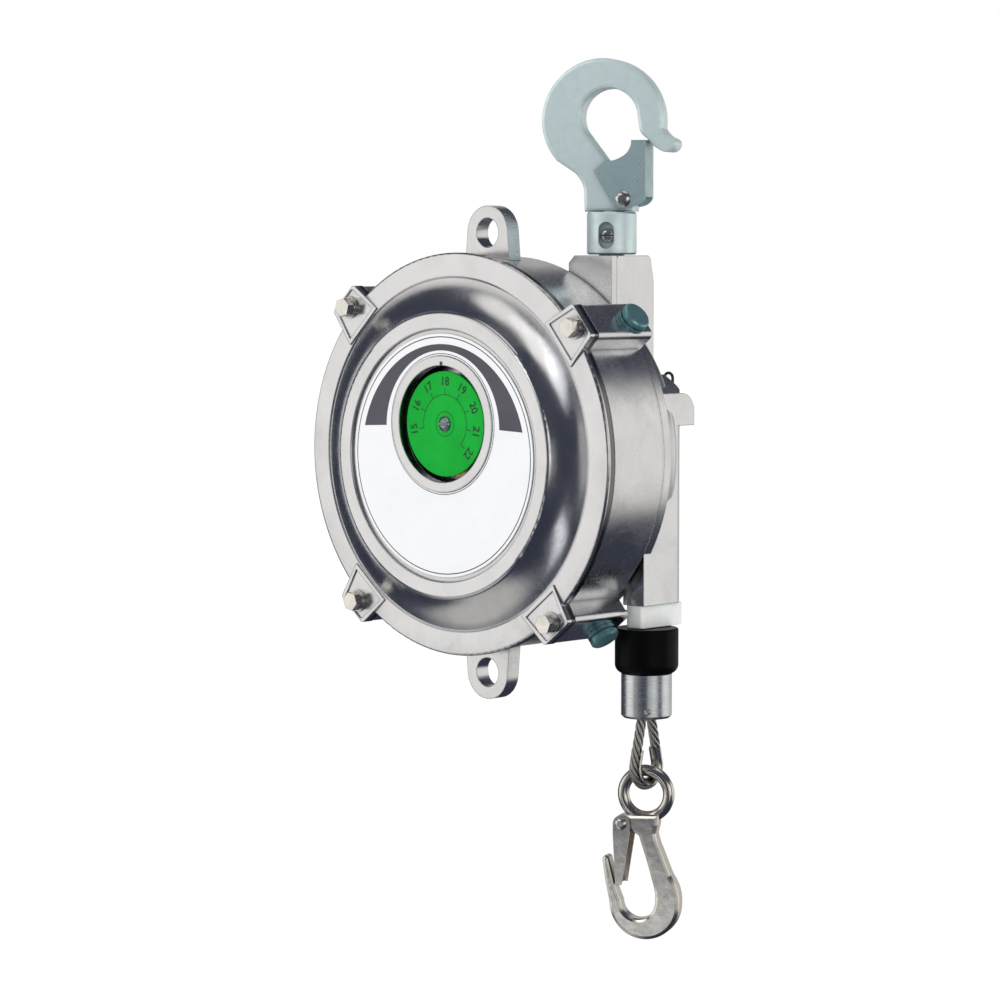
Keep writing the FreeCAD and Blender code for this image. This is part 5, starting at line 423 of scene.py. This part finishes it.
def print_plate():
    """A dark arc over the window, and a thin ring near the plate's edge and round the window."""
    lift = DIAL_AXIS.z - DRUM_AXIS.z

    def edge(radius, drop):
        """Reach of an arc whose centre lies drop below the dial's, seen from the dial's centre."""
        return lambda angle: math.sqrt(radius ** 2 - (drop * math.sin(angle)) ** 2) - drop * math.cos(angle)

    shape = bmesh.new()
    printed_band(shape, DIAL_AXIS, PLATE_FACE - INK, edge(BAND_INSIDE, BAND_DROP), edge(BAND_REACH, lift),
                 -BAND_END, BAND_END)
    new_piece("plate_band", shape, PRINT, "casing")
    rings = bmesh.new()
    printed_band(rings, DRUM_AXIS, PLATE_FACE - INK, *EDGE_RING, 0, 360)
    printed_band(rings, DIAL_AXIS, PLATE_FACE - INK, *WINDOW_RING, 0, 360)
    new_piece("plate_rings", rings, BLACK_INK, "casing")


def print_dial():
    """The dial's arc with a tick at each number, and a ring round its screw."""
    face = DIAL_FACE - INK
    angles = [(number - TOP_NUMBER) * DIAL_SPACING for number in DIAL_NUMBERS]
    half_tick = math.degrees(DIAL_LINE / 2 / DIAL_ARC)
    shape = bmesh.new()
    printed_band(shape, DIAL_AXIS, face, DIAL_ARC, DIAL_ARC + DIAL_LINE, angles[0], angles[-1])
    printed_band(shape, DIAL_AXIS, face, DIAL_RING, DIAL_RING + DIAL_LINE, 0, 360, 64)
    for angle in angles:
        printed_band(shape, DIAL_AXIS, face, DIAL_ARC, DIAL_ARC + DIAL_TICK,
                     angle - half_tick, angle + half_tick, 1)
    new_piece("dial_lines", shape, DIAL_INK, "dial")
    for number, angle in zip(DIAL_NUMBERS, angles):
        letters = bpy.data.curves.new(f"dial_number_{number}", "FONT")
        letters.body = str(number)
        letters.size = NUMBER_SIZE
        letters.align_x = "CENTER"
        letters.align_y = "CENTER"
        letters.extrude = NUMBER_DEPTH
        letters.offset = NUMBER_WEIGHT
        turn = Matrix.Rotation(math.radians(angle), 4, "Y")
        place = turn @ Vector((0, 0, NUMBER_REACH))
        text = bpy.data.objects.new(f"dial_number_{number}", letters)
        text.matrix_world = (Matrix.Translation((DIAL_AXIS.x + place.x, face, DIAL_AXIS.z + place.z)) @ turn
                             @ Matrix.Rotation(math.radians(90), 4, "X"))
        bpy.context.scene.collection.objects.link(text)
        letters.materials.append(DIAL_INK)
        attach(text, "dial")


print_plate()
print_dial()


# ------------------------------------------------------------------------------ wire rope's strands
LOOP_LOW = Vector(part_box("rope_loop")[0])
LOOP_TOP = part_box("rope_loop")[1][2]
LOOP_RADIUS = 8.6 * MM
LOOP_CENTRE = Vector((ROPE.x, ROPE.y, LOOP_LOW.z + LOOP_RADIUS + ROPE_RADIUS))
# down from the bumper's top, round the thimble and back into the sleeve, in mm: sideways and up from the
# loop's centre
LOOP_ROUTE = [(0, 44), (0, 38), (-1.2, 32.2), (-3.0, 24.6), (-7.62, 5.15), (-9.12, -1.17), (-6.07, -6.90),
              (0, -9.19), (6.07, -6.90), (9.12, -1.17), (7.62, 5.15), (3.0, 24.6), (2.15, 28.2)]
STRAND_SIDES = 18
STEP = 0.6 * MM              # from one ring of a strand to the next
RUN_SIDES = 24
RUN_RINGS = 64


def smooth_line(route):
    """Points along the NURBS spline that has the route as its control points, every STEP."""
    curve = bpy.data.curves.new("route", "CURVE")
    curve.dimensions = "3D"
    curve.resolution_u = 32
    spline = curve.splines.new("NURBS")
    spline.points.add(len(route) - 1)
    for point, place in zip(spline.points, route):
        point.co = (*place, 1)
    spline.order_u = 3
    spline.use_endpoint_u = True
    guide = bpy.data.objects.new("route", curve)
    mesh = bpy.data.meshes.new_from_object(guide)
    read = [vertex.co.copy() for vertex in mesh.vertices]
    bpy.data.objects.remove(guide)
    bpy.data.meshes.remove(mesh)
    bpy.data.curves.remove(curve)
    line = [read[0]]
    for place in read[1:]:
        while (place - line[-1]).length >= STEP:
            line.append(line[-1] + (place - line[-1]).normalized() * STEP)
    return line


def skin(shape, layer, rings):
    """A closed tube over rings of corners. Each ring comes with its length along the tube, for the UVs."""
    for (before, lower), (after, upper) in zip(rings, rings[1:]):
        sides = len(lower)
        for side in range(sides):
            following = (side + 1) % sides
            face = shape.faces.new((lower[side], lower[following], upper[following], upper[side]))
            face.smooth = True
            corners = ((side, before), (side + 1, before), (side + 1, after), (side, after))
            for loop, (corner, along) in zip(face.loops, corners):
                loop[layer].uv = (corner / sides, along)
    shape.faces.new(rings[0][1][::-1])
    shape.faces.new(rings[-1][1])


def round_steps(count):
    """Angles that go once round in count equal steps."""
    return (2 * math.pi * step / count for step in range(count))


def off_centre(first, second, angle, radius):
    """The step from a circle's centre to its edge, in the plane of two directions."""
    return (first * math.cos(angle) + second * math.sin(angle)) * radius


def lay_strand(shape, layer, line, number):
    """One strand wound round the line: a round tube, whose wires are in its material."""
    radius = ROPE_RADIUS / 3
    sideways = Vector((1, 0, 0))
    centres = []
    for index, place in enumerate(line):
        along = (line[min(index + 1, len(line) - 1)] - line[max(index - 1, 0)]).normalized()
        turn = 2 * math.pi * (index * STEP / STRAND_LAY + number / STRANDS)
        inward = sideways.cross(along)
        centres.append(place + off_centre(sideways, inward, turn, ROPE_RADIUS - radius))
    rings = []
    for index, centre in enumerate(centres):
        along = (centres[min(index + 1, len(centres) - 1)] - centres[max(index - 1, 0)]).normalized()
        first = (sideways - along * sideways.dot(along)).normalized()
        second = along.cross(first)
        rings.append((index * STEP, [shape.verts.new(centre + off_centre(first, second, angle, radius))
                                     for angle in round_steps(STRAND_SIDES)]))
    skin(shape, layer, rings)


def lay_rope():
    """The loop's rope as six strands, in the room of the CAD's plain round rope."""
    route = [LOOP_CENTRE + Vector((0, side * MM, up * MM)) for side, up in LOOP_ROUTE]
    route.insert(0, Vector((ROPE.x, ROPE.y, LOOP_TOP)))
    line = smooth_line(route)
    shape = bmesh.new()
    layer = shape.loops.layers.uv.new("strand")
    for number in range(STRANDS):
        lay_strand(shape, layer, line, number)
    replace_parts(new_piece("rope_strands", shape, ROPE_STEEL, "rope_end"), "rope_loop")


def pull_rope():
    """The straight rope from the casing to its stop, which comes out as the rope is pulled."""
    foot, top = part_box("rope_run")[0].z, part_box("rope_run")[1].z
    sideways, backward = Vector((1, 0, 0)), Vector((0, 1, 0))
    shape = bmesh.new()
    layer = shape.loops.layers.uv.new("strand")
    rings = []
    for index in range(RUN_RINGS + 1):
        share = index / RUN_RINGS
        length = share * (top - foot) + share * share * (3 - 2 * share) * ROPE_STROKE
        centre = Vector((ROPE.x, ROPE.y, top - share * (top - foot)))
        rings.append((length, [shape.verts.new(centre + off_centre(sideways, backward, angle, ROPE_RADIUS))
                               for angle in round_steps(RUN_SIDES)]))
    skin(shape, layer, rings[::-1])
    piece = new_piece("rope_line", shape, TAUT_ROPE, None)
    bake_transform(piece)
    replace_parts(piece, "rope_run")


lay_rope()
pull_rope()


# ----------------------------------------------------------------------------------- studio, camera
def add_softbox(name, place, size, level, mirrored=True):
    """A rectangular light that faces the casing, as bright as level; some are hidden from the metal."""
    light = bpy.data.lights.new(name, "AREA")
    light.shape = "RECTANGLE"
    light.size, light.size_y = size
    light.energy = level * math.pi * size[0] * size[1]
    lamp = bpy.data.objects.new(name, light)
    lamp.visible_glossy = mirrored
    lamp.visible_camera = False
    lamp.location = DRUM_AXIS + Vector(place)
    lamp.rotation_mode = "QUATERNION"
    lamp.rotation_quaternion = (-Vector(place)).to_track_quat("-Z", "Y")
    bpy.context.scene.collection.objects.link(lamp)


# what the metal mirrors: direction, half angle and soft edge in degrees, brightness
PANELS = [
    ("front_left", (-0.67, -0.74, 0.05), 17, 12, 0.84),
    ("front_above_left", (-0.37, -0.66, 0.66), 8, 8, 0.80),
    ("front_above", (-0.06, -0.83, 0.56), 9, 7, 0.95),
    ("left_strip", (-0.85, 0.45, 0.25), 9, 10, 0.55),
    ("back_right", (0.67, 0.74, 0.02), 15, 16, 0.78),
    ("back_left", (-0.66, 0.74, 0.10), 15, 15, 0.42),
    ("above", (0.1, 0.1, 1.0), 12, 20, 0.7),
    ("right", (0.98, -0.15, 0.10), 11, 8, 0.85),
    ("right_front", (0.86, -0.50, -0.03), 11, 9, 0.5),
    ("front", (-0.14, -1.0, -0.04), 5, 5, 0.34),
    ("back", (-0.05, 1.0, -0.10), 15, 12, 0.45),
    ("below", (-0.45, -0.43, -0.76), 15, 14, 0.45),
]
ROOM_LEVEL = 0.05               # between the panels
ROOM_TINT = (0.62, 0.74, 1.20)
PANEL_TINT = (1.03, 1.0, 0.95)
TINT_SWING = 3.5                # how soon the room's tint gives way to the panels', per unit of brightness
SOFT_LEVEL = 1.04               # light on matt things
BACKGROUND_LEVEL = 1.0          # what the camera sees
FLOOR_RADIUS = 60
FLOOR_GAP = 0.15                # under the lower hook when the rope is pulled right out
FLOOR_TONE = (0.985, 0.985, 0.985)
VIEW_AZIMUTH = math.radians(42.43)
VIEW_ELEVATION = math.radians(4.11)
VIEW_DISTANCE = 1.663
AIM_RIGHT = 20.7 * MM           # the picture's middle, from the middle of the cover's flange
AIM_DOWN = 21.3 * MM
SENSOR_WIDTH = 36               # in the camera's own mm, as the focal length
FOCAL_LENGTH = 127.15


def room():
    """The world: even white light for matt things, a dim room with bright panels for what mirrors it."""
    world = bpy.data.worlds.new("room")
    bpy.context.scene.world = world
    world.use_nodes = True
    tree = world.node_tree

    def node(kind, **settings):
        made = tree.nodes.new(kind)
        for key, value in settings.items():
            setattr(made, key, value)
        return made

    def link(output, socket):
        tree.links.new(output, socket)

    direction = node("ShaderNodeTexCoord").outputs["Generated"]
    total = None
    for name, toward, half, soft, level in PANELS:
        facing = node("ShaderNodeVectorMath", operation="DOT_PRODUCT", label=name)
        link(direction, facing.inputs[0])
        facing.inputs[1].default_value = Vector(toward).normalized()
        panel = node("ShaderNodeMapRange", interpolation_type="SMOOTHSTEP")
        link(facing.outputs["Value"], panel.inputs["Value"])
        panel.inputs["From Min"].default_value = math.cos(math.radians(half + soft))
        panel.inputs["From Max"].default_value = math.cos(math.radians(half))
        panel.inputs["To Max"].default_value = level
        plus = node("ShaderNodeMath", operation="ADD")
        link(panel.outputs[0], plus.inputs[0])
        if total is None:
            plus.inputs[1].default_value = ROOM_LEVEL
        else:
            link(total, plus.inputs[1])
        total = plus.outputs[0]
    ray = node("ShaderNodeLightPath")
    mirrored = node("ShaderNodeMix", data_type="FLOAT")
    link(ray.outputs["Is Glossy Ray"], mirrored.inputs["Factor"])
    mirrored.inputs[2].default_value = SOFT_LEVEL
    link(total, mirrored.inputs[3])
    seen = node("ShaderNodeMix", data_type="FLOAT")
    link(ray.outputs["Is Camera Ray"], seen.inputs["Factor"])
    link(mirrored.outputs[0], seen.inputs[2])
    seen.inputs[3].default_value = BACKGROUND_LEVEL
    link(seen.outputs[0], tree.nodes["Background"].inputs["Strength"])
    shade = node("ShaderNodeMix", data_type="RGBA")
    warmth = node("ShaderNodeMath", operation="MULTIPLY", use_clamp=True)
    link(total, warmth.inputs[0])
    warmth.inputs[1].default_value = TINT_SWING
    link(warmth.outputs[0], shade.inputs["Factor"])
    shade.inputs[6].default_value = (*ROOM_TINT, 1)
    shade.inputs[7].default_value = (*PANEL_TINT, 1)
    tint = node("ShaderNodeMix", data_type="RGBA")
    link(ray.outputs["Is Glossy Ray"], tint.inputs["Factor"])
    tint.inputs[6].default_value = (1, 1, 1, 1)
    link(shade.outputs[2], tint.inputs[7])
    link(tint.outputs[2], tree.nodes["Background"].inputs["Color"])


def lay_floor():
    """A pale floor, out of reach of the rope when it is pulled right out."""
    disc = bmesh.new()
    bmesh.ops.create_circle(disc, cap_ends=True, radius=FLOOR_RADIUS, segments=64,
                            matrix=Matrix.Translation((0, 0, cad_box[0].z - ROPE_STROKE - FLOOR_GAP)))
    data = bpy.data.meshes.new("floor")
    disc.to_mesh(data)
    disc.free()
    ground = bpy.data.objects.new("floor", data)
    ground.visible_glossy = False
    bpy.context.scene.collection.objects.link(ground)
    data.materials.append(coating("floor_paint", FLOOR_TONE, 0.8, spread=0.005, size=0.2, depth=0.0,
                                  Specular_IOR_Level=0.0))


def add_camera():
    """The photograph's viewpoint, from where its outline and its perspective agree with the solids."""
    back = Vector((math.sin(VIEW_AZIMUTH) * math.cos(VIEW_ELEVATION),
                   -math.cos(VIEW_AZIMUTH) * math.cos(VIEW_ELEVATION), math.sin(VIEW_ELEVATION)))
    right = Vector((math.cos(VIEW_AZIMUTH), math.sin(VIEW_AZIMUTH), 0))
    upward = back.cross(right)
    aim = Vector((DRUM_AXIS.x, FLANGE_FACE, DRUM_AXIS.z)) + right * AIM_RIGHT - upward * AIM_DOWN
    lens = bpy.data.cameras.new("camera")
    lens.sensor_width = SENSOR_WIDTH
    lens.lens = FOCAL_LENGTH
    lens.clip_start = 0.05
    camera = bpy.data.objects.new("camera", lens)
    camera.matrix_world = (Matrix.Translation(aim + back * VIEW_DISTANCE)
                           @ back.to_track_quat("Z", "Y").to_matrix().to_4x4())
    bpy.context.scene.collection.objects.link(camera)
    bpy.context.scene.camera = camera


bpy.context.scene.view_settings.view_transform = "Standard"
room()
lay_floor()
add_softbox("key", (-0.7, -1.6, 1.2), (1.0, 1.0), 3.0, mirrored=False)
add_softbox("upper_front", (0.05, -0.80, 0.34), (0.40, 0.22), 0.8)
add_softbox("lower_front", (0.10, -0.80, -0.42), (0.40, 0.16), 0.8)
add_camera()
